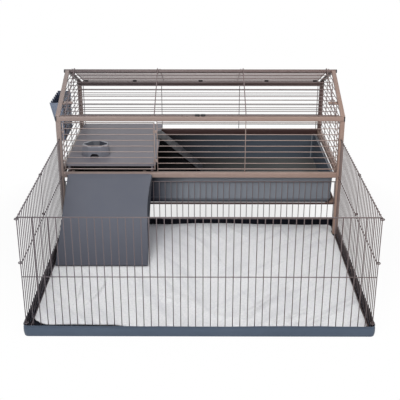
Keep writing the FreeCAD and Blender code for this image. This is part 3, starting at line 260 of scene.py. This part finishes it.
def makeFleece(name, drop):
    # drop is how much greyer a crease's flank is, as painted shade
    spec = fleeceSpec
    material, place = startMaterial(name)
    pile = noiseOf(place, *spec["pile"])
    tuft = noiseOf(place, *spec["tuft"])
    cloud = noiseOf(place, *spec["cloud"])
    low, high = (tint(*(part - drop for part in spec[end])) for end in ("low", "high"))
    tone = cloud * spec["cloudMix"] + (tuft - 0.5) * spec["tuftMix"] + spec["level"]
    base = blendOf(tone.clamped(), low, high)
    height = pile + tuft * spec["tuftRise"]
    acrossX, backY = partOf(place, "X"), partOf(place, "Y")
    for turn, spread in spec["creaseTurns"]:
        turned = place.node("Mapping", {"vector_type": "TEXTURE"}, {
            "Vector": place, "Rotation": (0, 0, math.radians(turn)), "Scale": spec["creaseSize"]})
        crease = turned.node("TexNoise", {}, {"Vector": turned, "Scale": 1.0, "Detail": 2.0,
                                              "Distortion": spec["creaseTwist"]})
        side = ((acrossX - spec["creaseMiddle"]) * spec["creaseFade"] * spread + spec["creaseStart"]).clamped()
        # painted shade along the creases
        creaseShade = ((crease - 0.5) * spec["creaseRate"]).clamped() * side * spec["creaseMix"]
        base = blendOf(creaseShade, base, spec["creaseTone"])
        height = height + crease * side * spec["creaseRise"]
    # painted shadow of the ramp on the mat beside it
    besideRamp = ((0.0 - acrossX) / spec["shadeSpanX"]).clamped()
    shade = besideRamp * ((backY - spec["shadeFromY"]) / spec["shadeSpanY"]).clamped()
    base = blendOf(shade * spec["shadeMix"], base, spec["shadeTone"])
    rough = spec["rough"] + spec["roughPile"] * pile
    closeMaterial(place, base, rough, height, spec["depth"], spec["strength"], Sheen_Weight=spec["sheen"],
                  Sheen_Roughness=spec["sheenRough"], Specular_IOR_Level=spec["shine"])
    return material


# the rear tube and low rail paints carry painted shade, the front wire paint a painted highlight
tubePaint = makePaint("tubePaint", tubeLook)
backPaint = makePaint("backPaint", backShadeLook)
railPaint = makePaint("railPaint", railShadeLook)
faceHighlightPaint = makePaint("faceHighlightPaint", faceHighlightLook)
penPaint = makePaint("penPaint", penLook)
hatchPaint = makePaint("hatchPaint", hatchLook)
endPaint = makePaint("endPaint", endLook)
roofPaint = makePaint("roofPaint", roofLook)
rearPaint = makePaint("rearPaint", rearLook)
blackPlastic = makePlastic("blackPlastic", tint(24, 23, 25), tint(36, 35, 38))
shelfPlastic = makePlastic("shelfPlastic", tint(122, 120, 129), tint(134, 131, 139))
bowlPlastic = makePlastic("bowlPlastic", tint(110, 112, 122), tint(122, 124, 133))
# painted highlight for the bowl's rim, painted shade for its well
bowlRim = makePlastic("bowlRim", tint(156, 158, 166), tint(168, 170, 177))
bowlWell = makePlastic("bowlWell", tint(54, 58, 68), tint(66, 70, 80))
rampPlastic = makePlastic("rampPlastic", tint(42, 43, 48), tint(53, 54, 59), shine=0.2)
rampShade = makePlastic("rampShade", tint(7, 7, 9), tint(13, 13, 16), shine=0.1)
trayPlastic = makePlastic("trayPlastic", tint(112, 118, 127), tint(122, 127, 136))
# tray walls darkened with painted shade at one end and along the foot
trayInsideShade = makeTrayWall("trayInsideShade", tint(5, 5, 8), tint(76, 84, 94), start=-0.17, span=0.46, foot=0.13)
trayBottom = makeTrayWall("trayBottom", tint(5, 5, 8), tint(92, 94, 94), start=-0.1, span=0.5, foot=0.13)
trayFront = makeTrayWall("trayFront", tint(26, 26, 40), tint(124, 129, 137), start=-0.22, span=0.16, foot=0.152)
rackPlastic = makePlastic("rackPlastic", tint(112, 122, 141), tint(126, 135, 153))
# painted shade, in navy, for the rack's inner faces
rackLining = makePlastic("rackLining", tint(34, 42, 62), tint(46, 55, 76))
canvasCloth = makeCloth("canvasCloth", tint(70, 82, 98), tint(84, 96, 112), pitch=0.0011, rough=0.5, sheen=0.1)
# painted shade for the inner faces of the canvas walls
canvasInnerShade = makeCloth("canvasInnerShade", tint(9, 10, 16), tint(17, 19, 30), pitch=0.0011, rough=0.8, sheen=0.0)
# ramp cloth with painted shade towards its foot
rampCloth = makeCloth("rampCloth", tint(88, 92, 104), tint(101, 103, 112), pitch=0.0014, rough=0.55, sheen=0.1,
                      fall=("Z", -0.02, 0.17, tint(70, 72, 82)))
# painted shade for the ramp's right side and underside
rampSideShade = makeCloth("rampSideShade", tint(33, 35, 43), tint(46, 48, 56), pitch=0.0014, rough=0.6, sheen=0.1)
fleeceShadeTones = [makeFleece("fleecePile" + str(drop), drop) for drop in fleeceSpec["drops"]]
print("materials made")

copySpec = {"merge": 1e-6, "flat": 0.02}  # how near points are merged, how flat faces are joined


def selectOnly(piece):
    bpy.ops.object.select_all(action="DESELECT")
    piece.select_set(True)
    bpy.context.view_layer.objects.active = piece


def camel(name):
    first, *rest = name.split("_")
    return first + "".join(word.capitalize() for word in rest)


def copyNode(node):
    # a merged copy of a CAD node, to finish by hand
    name = camel(node) if "_" in node else node + "Piece"
    piece = bpy.data.objects.new(name, nodes[node].data.copy())
    bpy.context.scene.collection.objects.link(piece)
    selectOnly(piece)
    bpy.ops.object.mode_set(mode="EDIT")
    bpy.ops.mesh.select_all(action="SELECT")
    bpy.ops.mesh.remove_doubles(threshold=copySpec["merge"])
    bpy.ops.mesh.tris_convert_to_quads(face_threshold=copySpec["flat"], shape_threshold=copySpec["flat"])
    bpy.ops.object.mode_set(mode="OBJECT")
    return piece


def paintWith(piece, *materials):
    piece.data.materials.clear()
    for material in materials:
        piece.data.materials.append(material)


def settle(piece, node, *more):
    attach(piece, nodes[node]["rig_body"])
    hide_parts(node, *more)


def softenEdges(piece, width, limit=30, segments=2, smooth=40):
    selectOnly(piece)
    bevel = piece.modifiers.new("edges", "BEVEL")
    bevel.width, bevel.segments = width, segments
    bevel.limit_method, bevel.angle_limit = "ANGLE", math.radians(limit)
    bpy.ops.object.modifier_apply(modifier=bevel.name)
    bpy.ops.object.shade_smooth_by_angle(angle=math.radians(smooth))


# welded wire: round in the light, with its cut ends softened
wireSpec = {"endRound": 0.0005, "endLimit": 60, "endSegments": 1, "smooth": 50}
wireTable = [
    # front wires in the paint with a painted highlight
    (["front_fixed_panel", "front_door", "door_hinge_eyes", "door_catches"], faceHighlightPaint),
    (["pen_front_panel", "pen_left_front_panel", "pen_left_rear_panel", "pen_right_front_panel",
      "pen_right_rear_panel", "pen_back_panel", "pen_hinge_rings"], penPaint),
    (["ramp_rod", "roof_hatch"], hatchPaint),
    (["rear_wall_panel"], rearPaint),
    (["rear_roof_panel"], roofPaint),
    (["left_end_panel", "right_end_panel"], endPaint),
]
for group, material in wireTable:
    for node in group:
        piece = copyNode(node)
        softenEdges(piece, wireSpec["endRound"], wireSpec["endLimit"], wireSpec["endSegments"],
                    wireSpec["smooth"])
        paintWith(piece, material)
        settle(piece, node)
print("wire panels done")

# square tubes: the long outer edges are rolled round
tubeSpec = {"roll": 0.0022, "segments": 3, "smooth": 35, "longShare": 0.5, "skin": 1e-5}
tubeTable = [
    (["front_left_post", "front_right_post", "rear_left_post", "front_eave_rail", "front_sill", "left_sill",
      "right_sill"], tubePaint),
    # rear tubes in painted shade, then low rails in painted shade
    (["rear_right_post", "rear_eave_rail"], backPaint),
    (["front_bottom_rail", "rear_sill", "rear_bottom_rail"], railPaint),
]


def rollTube(node, material):
    piece = copyNode(node)
    low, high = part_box(node)
    size = high - low
    length = max(size)
    across = [axis for axis in range(3) if size[axis] < length]
    selectOnly(piece)
    bpy.ops.object.mode_set(mode="EDIT")
    bpy.ops.mesh.select_mode(type="EDGE")
    bpy.ops.mesh.select_all(action="DESELECT")
    bpy.ops.object.mode_set(mode="OBJECT")
    points = piece.data.vertices
    for edge in piece.data.edges:
        first, last = points[edge.vertices[0]].co, points[edge.vertices[1]].co
        middle = (first + last) / 2
        insets = [min(middle[axis] - low[axis], high[axis] - middle[axis]) for axis in across]
        outside = max(insets) < tubeSpec["skin"]
        edge.select = outside and (last - first).length > tubeSpec["longShare"] * length
    bpy.ops.object.mode_set(mode="EDIT")
    bpy.ops.mesh.bevel(offset=tubeSpec["roll"], segments=tubeSpec["segments"])
    bpy.ops.object.mode_set(mode="OBJECT")
    bpy.ops.object.shade_smooth_by_angle(angle=math.radians(tubeSpec["smooth"]))
    paintWith(piece, material)
    settle(piece, node)


for group, material in tubeTable:
    for node in group:
        rollTube(node, material)
print("tubes done")

# everything else in metal and plastic: pieces, the radius that softens their edges, and their finish
finishTable = [
    (["front_left_rafter", "front_right_rafter"], 0.0016, tubePaint),
    # rear rafters, bearers and ridge in paints with painted shade
    (["rear_left_rafter", "rear_right_rafter"], 0.0016, backPaint),
    (["left_tray_runner", "right_tray_runner", "hatch_brackets", "ramp_hooks"], 0.0005, tubePaint),
    (["platform_bearers"], 0.0005, railPaint),
    (["ridge_tube"], 0.0003, backPaint),
    (["rail_end_caps", "post_feet", "eave_clips", "rear_clips", "bracket_screws",
      "sill_plugs"], 0.0008, blackPlastic),
    (["platform"], 0.0012, shelfPlastic),
    (["hay_rack_hooks"], 0.0005, rackPlastic),
]
for group, width, material in finishTable:
    for node in group:
        piece = copyNode(node)
        softenEdges(piece, width)
        paintWith(piece, material)
        settle(piece, node)
print("fittings and plastics done")

# inner ramp: its tread is lit, its sides and underside lie in the shade
innerSpec = {"edge": 0.0012, "tread": 0.45}


def makeInnerRamp():
    piece = copyNode("inner_ramp")
    softenEdges(piece, innerSpec["edge"])
    paintWith(piece, rampPlastic, rampShade)
    for face in piece.data.polygons:
        face.material_index = 0 if face.normal.z > innerSpec["tread"] else 1
    settle(piece, "inner_ramp")


makeInnerRamp()

# food bowl: a painted highlight on the rim and painted shade in the well
bowlSpec = {"edge": 0.0014, "rim": 0.0026, "facing": -0.25, "upward": 0.6, "wellDrop": 0.01}


def makeBowl():
    piece = copyNode("food_bowl")
    softenEdges(piece, bowlSpec["edge"])
    paintWith(piece, bowlPlastic, bowlRim, bowlWell)
    low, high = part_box("food_bowl")
    middle = (low + high) / 2
    for face in piece.data.polygons:
        away = Vector((face.center.x - middle.x, face.center.y - middle.y, 0))
        bottom = face.normal.z > bowlSpec["upward"] and face.center.z < high.z - bowlSpec["wellDrop"]
        inside = bottom or face.normal.dot(away.normalized()) < bowlSpec["facing"]
        # rim faces take the painted highlight, inside faces the painted shade
        face.material_index = 1 if face.center.z > high.z - bowlSpec["rim"] else 2 if inside else 0
    settle(piece, "food_bowl")


makeBowl()
print("inner ramp and bowl done")

# litter tray: paler outside, with painted shade inside and at the end below the ramps
traySpec = {"edge": 0.0009, "upward": 0.6, "bottom": 0.02, "frontFacing": -0.5, "innerFacing": -0.4}


def makeTray():
    piece = copyNode("litter_tray")
    softenEdges(piece, traySpec["edge"])
    paintWith(piece, trayPlastic, trayInsideShade, trayBottom, trayFront)
    low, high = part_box("litter_tray")
    middle, half = (low + high) / 2, (high - low) / 2
    for face in piece.data.polygons:
        away = face.center - middle
        shareX, shareY = away.x / half.x, away.y / half.y
        reach = Vector((shareX, 0, 0)) if abs(shareX) > abs(shareY) else Vector((0, shareY, 0))
        bottom = face.normal.z > traySpec["upward"] and face.center.z < low.z + traySpec["bottom"]
        inner = face.normal.dot(reach) < traySpec["innerFacing"]
        front = face.normal.y < traySpec["frontFacing"] and away.y < 0
        face.material_index = 2 if bottom else 1 if inner else 3 if front else 0
    settle(piece, "litter_tray")


makeTray()
print("litter tray done")

# hay rack: pale outside, with navy painted shade on the inner faces
rackSpec = {"edge": 0.0007, "axisX": -0.612, "facing": 0.25, "backSkin": 0.001}


def makeRack():
    piece = copyNode("hay_rack")
    softenEdges(piece, rackSpec["edge"])
    paintWith(piece, rackPlastic, rackLining)
    low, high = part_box("hay_rack")
    middleY = (low.y + high.y) / 2
    for face in piece.data.polygons:
        inwards = Vector((rackSpec["axisX"] - face.center.x, middleY - face.center.y, 0))
        inShade = face.normal.dot(inwards.normalized()) > rackSpec["facing"]
        # inner faces take the painted shade
        face.material_index = 1 if inShade and face.center.x > low.x + rackSpec["backSkin"] else 0
    settle(piece, "hay_rack")


makeRack()
print("hay rack done")


def smoothStep(low, high, value):
    share = max(0.0, min(1.0, (value - low) / (high - low)))
    return share * share * (3 - 2 * share)


def waver(x, y, wave):
    # smooth noise over a surface; wave is its two rates and its layer
    rateX, rateY, layer = wave
    return noise.noise(Vector((x * rateX, y * rateY, layer)))


# soft floor: a cloth tray with a rolled foot, slack walls and a bound top edge
floorSpec = {"corner": 0.019, "segments": 8, "cuts": 60, "footIn": 0.004, "longEdge": 0.5, "thick": 0.0013,
             "slack": 0.0032, "inset": 0.0012, "dip": 0.003, "sagShare": 0.4, "longWave": (4.5, 4.5, 3.0),
             "shortWave": (13, 13, 9.0), "shortShare": 0.5, "dipWave": (3.2, 3.2, 20.0),
             "postBand": (0.02, 0.07), "smooth": 50, "upright": 0.5, "floorFacing": 0.7, "floorReach": 0.01,
             "innerFacing": -0.3, "cornerShare": 0.98, "ground": 1e-6,
             "rings": [(0.0003, 0.0022), (0.006, 0.0004), (0.015, -0.0008), (0.026, -0.0006), (0.0338, 0.0),
                       (0.0345, 0.0012), (0.0405, 0.0012), (0.042, 0.0)]}  # height and lean of each ring


def makeFloor():
    low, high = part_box("pen_floor_canvas")
    size, middle = high - low, (low + high) / 2
    foot = floorSpec["rings"][0][1] + floorSpec["footIn"]
    bpy.ops.object.select_all(action="DESELECT")
    bpy.ops.mesh.primitive_plane_add(size=1, location=(middle.x, middle.y, 0))
    piece = bpy.context.object
    piece.name = "penFloorCanvas"
    piece.scale = (size.x - 2 * foot, size.y - 2 * foot, 1)
    bpy.ops.object.transform_apply(location=True, rotation=True, scale=True)
    bpy.ops.object.mode_set(mode="EDIT")
    bpy.ops.mesh.select_all(action="SELECT")
    bpy.ops.mesh.bevel(offset=floorSpec["corner"] - foot, segments=floorSpec["segments"], affect="VERTICES")
    bpy.ops.mesh.select_mode(type="EDGE")
    bpy.ops.object.mode_set(mode="OBJECT")
    points = piece.data.vertices
    for edge in piece.data.edges:
        first, last = (points[index].co for index in edge.vertices)
        edge.select = (last - first).length > floorSpec["longEdge"]
    bpy.ops.object.mode_set(mode="EDIT")
    bpy.ops.mesh.subdivide(number_cuts=floorSpec["cuts"])
    bpy.ops.mesh.select_all(action="SELECT")
    bpy.ops.mesh.region_to_loop()
    level = 0.0
    for height, _ in floorSpec["rings"]:
        bpy.ops.mesh.extrude_region_move(TRANSFORM_OT_translate={"value": (0, 0, height - level)})
        level = height
    bpy.ops.object.mode_set(mode="OBJECT")
    # lean each ring outwards, let the walls go slack and the top edge dip
    leans = {round(height, 5): lean for height, lean in floorSpec["rings"]}
    inner = Vector((size.x / 2 - floorSpec["corner"], size.y / 2 - floorSpec["corner"]))
    for point in points:
        height = point.co.z
        if height < floorSpec["ground"]:
            continue
        x, y = point.co.x - middle.x, point.co.y - middle.y
        core = Vector((max(-inner.x, min(inner.x, x)), max(-inner.y, min(inner.y, y))))
        out = (Vector((x, y)) - core).normalized()
        share = height / floorSpec["rings"][-1][0]
        wave = waver(x, y, floorSpec["longWave"])
        wave += floorSpec["shortShare"] * waver(x, y, floorSpec["shortWave"])
        loose = smoothStep(*floorSpec["postBand"], abs(point.co.y))  # the walls stand straight beside the posts
        sway = floorSpec["slack"] * wave * share - leans[round(height, 5)] - floorSpec["inset"]
        spot = core + out * (floorSpec["corner"] + sway * loose)
        dip = waver(x, y, floorSpec["dipWave"]) * floorSpec["dip"] * share
        sag = floorSpec["dip"] * floorSpec["sagShare"] * share
        point.co = (spot.x + middle.x, spot.y + middle.y, height + dip - sag)
    upright = [face for face in piece.data.polygons if abs(face.normal.z) < floorSpec["upright"]]
    wall = max(upright, key=lambda face: face.center.x)
    if wall.normal.x < 0:
        piece.data.flip_normals()
    selectOnly(piece)
    wallThick = piece.modifiers.new("cloth", "SOLIDIFY")
    wallThick.thickness, wallThick.offset = floorSpec["thick"], -1
    bpy.ops.object.modifier_apply(modifier=wallThick.name)
    bpy.ops.object.shade_smooth_by_angle(angle=math.radians(floorSpec["smooth"]))
    paintWith(piece, canvasCloth, canvasInnerShade)
    # the walls' inner faces and the top of the floor take the painted shade
    for face in piece.data.polygons:
        x, y = face.center.x - middle.x, face.center.y - middle.y
        core = Vector((max(-inner.x, min(inner.x, x)), max(-inner.y, min(inner.y, y)), 0))
        out = Vector((x, y, 0)) - core
        if out.length < floorSpec["floorReach"]:
            inShade = face.normal.z > floorSpec["floorFacing"]
        else:
            inShade = face.normal.dot(out.normalized()) < floorSpec["innerFacing"]
        face.material_index = 1 if inShade else 0
    settle(piece, "pen_floor_canvas")


makeFloor()
print("soft floor done")

# fleece mat: laid by hand, so its edges waver and it ripples
matSpec = {"cellsX": 216, "cellsY": 168, "thick": 0.0036, "rise": 0.0056, "liftMost": 0.0098,
           "edge": 0.0012, "edgeLimit": 50, "edgeSegments": 2, "smooth": 60,
           "corner": 0.028, "frontCorner": 0.065, "edgeWave": 0.005, "edgeBand": 0.07, "flatEdge": 0.03,
           "edgeWaveX": (2, 7, 1.5), "edgeWaveY": (7, 2, 6.5),
           "frontPull": 0.05, "pullStart": -0.12, "pullFull": -0.32, "pullFade": 0.3,
           "spread": 0.0082, "spreadBand": 0.1, "reach": 0.585, "postReach": 0.5785,
           "postBand": (0.014, 0.04), "toeSide": 0.03, "toeBand": (0.03, 0.07),
           "ripple": 0.0022, "rippleLevel": 0.6, "rippleWave": (7, 7, 0.5),
           "fine": 0.0009, "fineWave": (24, 24, 4.0),
           "backBand": 0.07, "backRise": 0.0085, "backOut": 0.0035, "heapLow": 0.3, "heapHigh": 0.7,
           "heapMiddle": 0.06, "heapWidth": 0.17, "heapVary": 0.3, "heapRow": 2.5, "heapWave": (6, 1, 0.5),
           "shadeWay": (0.75, -0.6, 0.0), "shadeSteps": (0.14, 0.26, 0.38)}
# folds, steep on one side; the table gives each one's middle, turn, length and share of the full rise
foldSpec = {"rise": 0.0072, "width": 0.010, "steep": 0.8, "easy": 1.9, "endRate": 2, "sway": 0.012,
            "swayRate": 16, "swayStart": 20}
foldTable = [
    (0.04, -0.03, -59, 0.10, 1.0), (0.09, -0.04, -61, 0.13, 1.1), (0.16, 0.0, -61, 0.12, 1.0),
    (0.0, -0.10, -56, 0.12, 0.9), (0.09, -0.28, -73, 0.13, 0.9), (-0.08, -0.14, -32, 0.09, 0.6),
    (0.29, -0.31, 50, 0.12, 0.8), (0.28, -0.56, 57, 0.15, 1.0), (0.21, -0.66, 49, 0.15, 1.0),
    (0.31, -0.72, 40, 0.12, 1.1), (0.38, -0.74, 31, 0.10, 1.0), (0.50, -0.66, 35, 0.11, 0.9),
    (-0.14, -0.59, -24, 0.11, 0.9), (-0.03, -0.62, -43, 0.14, 1.0), (0.06, -0.69, -23, 0.08, 0.8),
    (0.50, -0.10, -85, 0.18, 0.6), (-0.46, -0.50, -97, 0.16, 0.8), (-0.39, -0.52, -103, 0.17, 0.9),
    (-0.49, -0.66, -56, 0.14, 0.9), (0.38, -0.03, -73, 0.12, 0.7), (0.44, -0.23, 24, 0.10, 0.6),
    (-0.08, -0.42, -40, 0.11, 0.8),
]


def foldLift(x, y):
    lift = 0.0
    for foldX, foldY, turn, length, share in foldTable:
        angle = math.radians(turn)
        along = (x - foldX) * math.cos(angle) + (y - foldY) * math.sin(angle)
        bend = foldSpec["sway"] * math.sin(along * foldSpec["swayRate"] + foldX * foldSpec["swayStart"])
        across = -(x - foldX) * math.sin(angle) + (y - foldY) * math.cos(angle) + bend
        width = foldSpec["width"] * (foldSpec["steep"] if across > 0 else foldSpec["easy"])
        fall = -(across / width) ** 2 - (along / length) ** 2 * foldSpec["endRate"]
        lift += share * foldSpec["rise"] * math.exp(fall)
    return lift


def makeMat():
    low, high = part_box("fleece_mat")
    size, middle = high - low, (low + high) / 2
    bpy.ops.object.select_all(action="DESELECT")
    bpy.ops.mesh.primitive_grid_add(x_subdivisions=matSpec["cellsX"], y_subdivisions=matSpec["cellsY"],
                                    size=1, location=(middle.x, middle.y, 0))
    piece = bpy.context.object
    piece.name = "fleeceMat"
    piece.scale = (size.x, size.y, 1)
    bpy.ops.object.transform_apply(location=True, rotation=True, scale=True)
    rampLow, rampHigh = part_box("exit_ramp_cover")
    for point in piece.data.vertices:
        x, y = point.co.x - middle.x, point.co.y - middle.y
        corner = matSpec["corner"] if y > 0 else matSpec["frontCorner"]
        u = max(0.0, (abs(x) - size.x / 2 + corner) / corner)
        v = max(0.0, (abs(y) - size.y / 2 + corner) / corner)
        if u > 0 and v > 0:  # the square corner becomes a round one
            x = math.copysign(size.x / 2 - corner + corner * u * math.sqrt(1 - v * v / 2), x)
            y = math.copysign(size.y / 2 - corner + corner * v * math.sqrt(1 - u * u / 2), y)
        toEdge = max(0.0, min(size.x / 2 - abs(x), size.y / 2 - abs(y)))
        nearEdge = 1 - smoothStep(0, matSpec["edgeBand"], toEdge)
        # it lies short of the front wall at the left
        pulled = 1 - smoothStep(matSpec["pullFull"], matSpec["pullStart"], x)
        y += matSpec["frontPull"] * pulled * (1 - smoothStep(0, matSpec["pullFade"], y + size.y / 2))
        waveX = waver(x, y, matSpec["edgeWaveX"]) * matSpec["edgeWave"] * nearEdge
        waveY = waver(x, y, matSpec["edgeWaveY"]) * matSpec["edgeWave"] * nearEdge
        py = y + waveY + middle.y
        atPosts = 1 - smoothStep(*matSpec["postBand"], abs(py))
        reach = matSpec["reach"] + (matSpec["postReach"] - matSpec["reach"]) * atPosts
        spread = matSpec["spread"] * (1 - smoothStep(0.0, matSpec["spreadBand"], size.x / 2 - abs(x)))
        px = max(-reach, min(reach, x + waveX + middle.x + math.copysign(spread, x)))
        lift = matSpec["ripple"] * (matSpec["rippleLevel"] + waver(px, py, matSpec["rippleWave"]))
        lift += matSpec["fine"] * waver(px, py, matSpec["fineWave"]) + foldLift(px, py)
        # pressed flat under the ramp's toe and along the edges, pushed up against the canvas at the back
        underToe = (1 - smoothStep(0.0, matSpec["toeSide"], max(rampLow.x - px, px - rampHigh.x))) * \
                   (1 - smoothStep(*matSpec["toeBand"], abs(py - rampLow.y)))
        free = (1 - underToe) * smoothStep(0.0, matSpec["flatEdge"], toEdge)
        atBack = smoothStep(high.y - matSpec["backBand"], high.y, py) * (1 - atPosts)
        bulge = math.exp(-((px - matSpec["heapMiddle"]) / matSpec["heapWidth"]) ** 2)
        heap = matSpec["heapLow"] + matSpec["heapHigh"] * bulge
        heap += matSpec["heapVary"] * waver(px, matSpec["heapRow"], matSpec["heapWave"])
        pushed = atBack * max(0.0, min(1.0, heap))
        level = matSpec["rise"] + min(matSpec["liftMost"], max(0.0, lift) * free + matSpec["backRise"] * pushed)
        point.co = (px, min(py + matSpec["backOut"] * atBack, high.y + matSpec["backOut"]), level)
    thick = piece.modifiers.new("pile", "SOLIDIFY")
    thick.thickness, thick.offset = matSpec["thick"], -1
    selectOnly(piece)
    bpy.ops.object.modifier_apply(modifier=thick.name)
    softenEdges(piece, matSpec["edge"], matSpec["edgeLimit"], matSpec["edgeSegments"], matSpec["smooth"])
    paintWith(piece, *fleeceShadeTones)
    for face in piece.data.polygons:
        # the flanks turned from the light are greyer
        turned = face.normal.dot(Vector(matSpec["shadeWay"])) if face.normal.z > 0 else 0.0
        face.material_index = sum(turned > limit for limit in matSpec["shadeSteps"])
    settle(piece, "fleece_mat")


makeMat()
print("mat done")

# covered ramp: a padded board, bent a little, its cloth drawn in along the right edge
rampSpec = {"top": (-0.0262, 0.2925), "bend": (-0.1445, 0.199), "toe": (-0.331, 0.0135), "bendShare": 0.55,
            "thick": 0.0145, "cellsX": 36, "cellsT": 72, "leftTop": -0.5605, "leftToe": -0.5805,
            "rightTop": -0.2025, "rightToe": -0.2085, "flare": 1.7, "drawn": 0.0125, "drawnEnd": 1.08,
            "drawnPower": 1.5, "puff": 0.0022, "puffBand": 0.12, "slack": 0.0009, "slackBand": 0.1,
            "slackWave": (3.5, 4.5, 2.0), "sink": 0.0004, "round": 0.016, "length": 0.42, "back": -0.0258,
            "lowest": 0.0064, "edge": 0.003, "edgeLimit": 50, "edgeSegments": 3, "smooth": 60,
            "sideFacing": 0.5, "underFacing": -0.3}


def makeRamp():
    bpy.ops.object.select_all(action="DESELECT")
    bpy.ops.mesh.primitive_grid_add(x_subdivisions=rampSpec["cellsX"], y_subdivisions=rampSpec["cellsT"],
                                    size=1)
    piece = bpy.context.object
    piece.name = "exitRampCover"
    bpy.ops.object.mode_set(mode="EDIT")
    bpy.ops.mesh.select_all(action="SELECT")
    bpy.ops.mesh.extrude_region_move(TRANSFORM_OT_translate={"value": (0, 0, 1)})
    bpy.ops.mesh.select_all(action="SELECT")
    bpy.ops.mesh.normals_make_consistent(inside=False)
    bpy.ops.object.mode_set(mode="OBJECT")
    top, bend, toe = (Vector(spot) for spot in (rampSpec["top"], rampSpec["bend"], rampSpec["toe"]))
    pull = 2 * bend - (top + toe) / 2  # the control point that carries the curve through the bend
    pull = bend + (pull - bend) * rampSpec["bendShare"]
    for point in piece.data.vertices:
        u, t, layer = point.co.x + 0.5, 0.5 - point.co.y, point.co.z
        spot = top * (1 - t) ** 2 + pull * 2 * t * (1 - t) + toe * t ** 2
        slope = (pull - top) * 2 * (1 - t) + (toe - pull) * 2 * t
        up = Vector((slope.y, -slope.x)).normalized()
        up = up if up.y > 0 else -up
        left = rampSpec["leftTop"] + (rampSpec["leftToe"] - rampSpec["leftTop"]) * t ** rampSpec["flare"]
        right = rampSpec["rightTop"] + (rampSpec["rightToe"] - rampSpec["rightTop"]) * t
        drawn = math.sin(math.pi * min(1, t * rampSpec["drawnEnd"])) ** rampSpec["drawnPower"]
        right -= rampSpec["drawn"] * drawn * layer
        short = max(0.0, rampSpec["round"] - t * rampSpec["length"])  # the top corners are sewn round
        inset = rampSpec["round"] - math.sqrt(rampSpec["round"] ** 2 - short ** 2)
        left, right = left + inset, right - inset
        edge = min(u, 1 - u, t, 1 - t)
        puff = rampSpec["puff"] * smoothStep(0, rampSpec["puffBand"], edge)
        slack = rampSpec["slack"] * waver(u, t, rampSpec["slackWave"])
        slack *= smoothStep(0, rampSpec["slackBand"], edge)
        rise = (puff + slack - rampSpec["sink"]) * layer - rampSpec["thick"] * (1 - layer)
        spot = spot + up * rise
        # its upper end stays clear of the hooks
        point.co = (left + (right - left) * u, min(spot.x, rampSpec["back"]), max(spot.y, rampSpec["lowest"]))
    softenEdges(piece, rampSpec["edge"], rampSpec["edgeLimit"], rampSpec["edgeSegments"], rampSpec["smooth"])
    paintWith(piece, rampCloth, rampSideShade)
    # the right side and underside take the painted shade
    for face in piece.data.polygons:
        sideInShade = face.normal.x > rampSpec["sideFacing"] or face.normal.z < rampSpec["underFacing"]
        face.material_index = 1 if sideInShade else 0
    settle(piece, "exit_ramp_cover", "exit_ramp_board")


makeRamp()
print("ramp done")

# camera at the photograph's angle
cameraSpec = {"spot": (0.011, -3.158, 1.46), "pitch": 22.35, "yaw": 0.21, "lens": 71.06, "sensor": 36}
lens = bpy.data.cameras.new("camera")
lens.lens, lens.sensor_width = cameraSpec["lens"], cameraSpec["sensor"]
camera = bpy.data.objects.new("camera", lens)
camera.location = cameraSpec["spot"]
camera.rotation_euler = (math.radians(90 - cameraSpec["pitch"]), 0, math.radians(cameraSpec["yaw"]))
bpy.context.scene.collection.objects.link(camera)
bpy.context.scene.camera = camera

# soft studio light: place, width and power of each lamp
lampTable = [("keyLamp", (-0.9, -2.6, 2.3), 1.4, 58), ("fillLamp", (1.8, -2.0, 2.2), 1.4, 34),
             ("topLamp", (0.2, -0.7, 2.9), 1.8, 16)]
stageSpec = {"lampAim": (0, -0.15, 0.2), "skyLight": 0.2, "floorSize": 40, "floorZ": -0.0006,
             "floorColour": (0.93, 0.93, 0.93, 1), "white": (1, 1, 1, 1), "shadowWhite": 0.94, "whiteFrom": 0.9,
             "whiteSpan": 4}
for name, spot, width, power in lampTable:
    light = bpy.data.lights.new(name, "AREA")
    light.size, light.energy = width, power
    lamp = bpy.data.objects.new(name, light)
    lamp.location = spot
    lamp.rotation_euler = (Vector(stageSpec["lampAim"]) - Vector(spot)).to_track_quat("-Z", "Y").to_euler()
    bpy.context.scene.collection.objects.link(lamp)


def lightPath(place):
    camera, glossy, through = (place.node("LightPath", {}, {}, out=name)
                               for name in ("Is Camera Ray", "Is Glossy Ray", "Is Transmission Ray"))
    return (camera + glossy + through).clamped()


world = bpy.data.worlds.new("studio")
bpy.context.scene.world = world
world.use_nodes = True
world.node_tree.nodes.clear()
sky = Sock(world.node_tree, None)
seen = lightPath(sky)
skyStrength = stageSpec["skyLight"] + (1 - stageSpec["skyLight"]) * seen
backdrop = sky.node("Background", {}, {"Color": stageSpec["white"], "Strength": skyStrength})
skyEnd = world.node_tree.nodes.new("ShaderNodeOutputWorld")
world.node_tree.links.new(backdrop.out, skyEnd.inputs["Surface"])

bpy.ops.object.select_all(action="DESELECT")
bpy.ops.mesh.primitive_plane_add(size=stageSpec["floorSize"], location=(0, 0, stageSpec["floorZ"]))
floor = bpy.context.object
floor.name = "studioFloor"
floorMaterial, place = startMaterial("studioFloor")
away = place.node("VectorMath", {"operation": "LENGTH"}, {0: place}, out="Value")
# the floor shows white, and under and around the object a soft share of its shadow
far = (stageSpec["shadowWhite"] + (away - stageSpec["whiteFrom"]) / stageSpec["whiteSpan"]).clamped()
lit = place.node("BsdfDiffuse", {}, {"Color": stageSpec["floorColour"]})
white = place.node("Emission", {}, {"Color": stageSpec["white"], "Strength": 1.0})
cover = place.node("MixShader", {}, {0: far * lightPath(place), 1: lit, 2: white})
floorEnd = floorMaterial.node_tree.nodes.new("ShaderNodeOutputMaterial")
floorMaterial.node_tree.links.new(cover.out, floorEnd.inputs["Surface"])
paintWith(floor, floorMaterial)
bpy.context.scene.view_settings.view_transform = "Standard"
print("stage done")
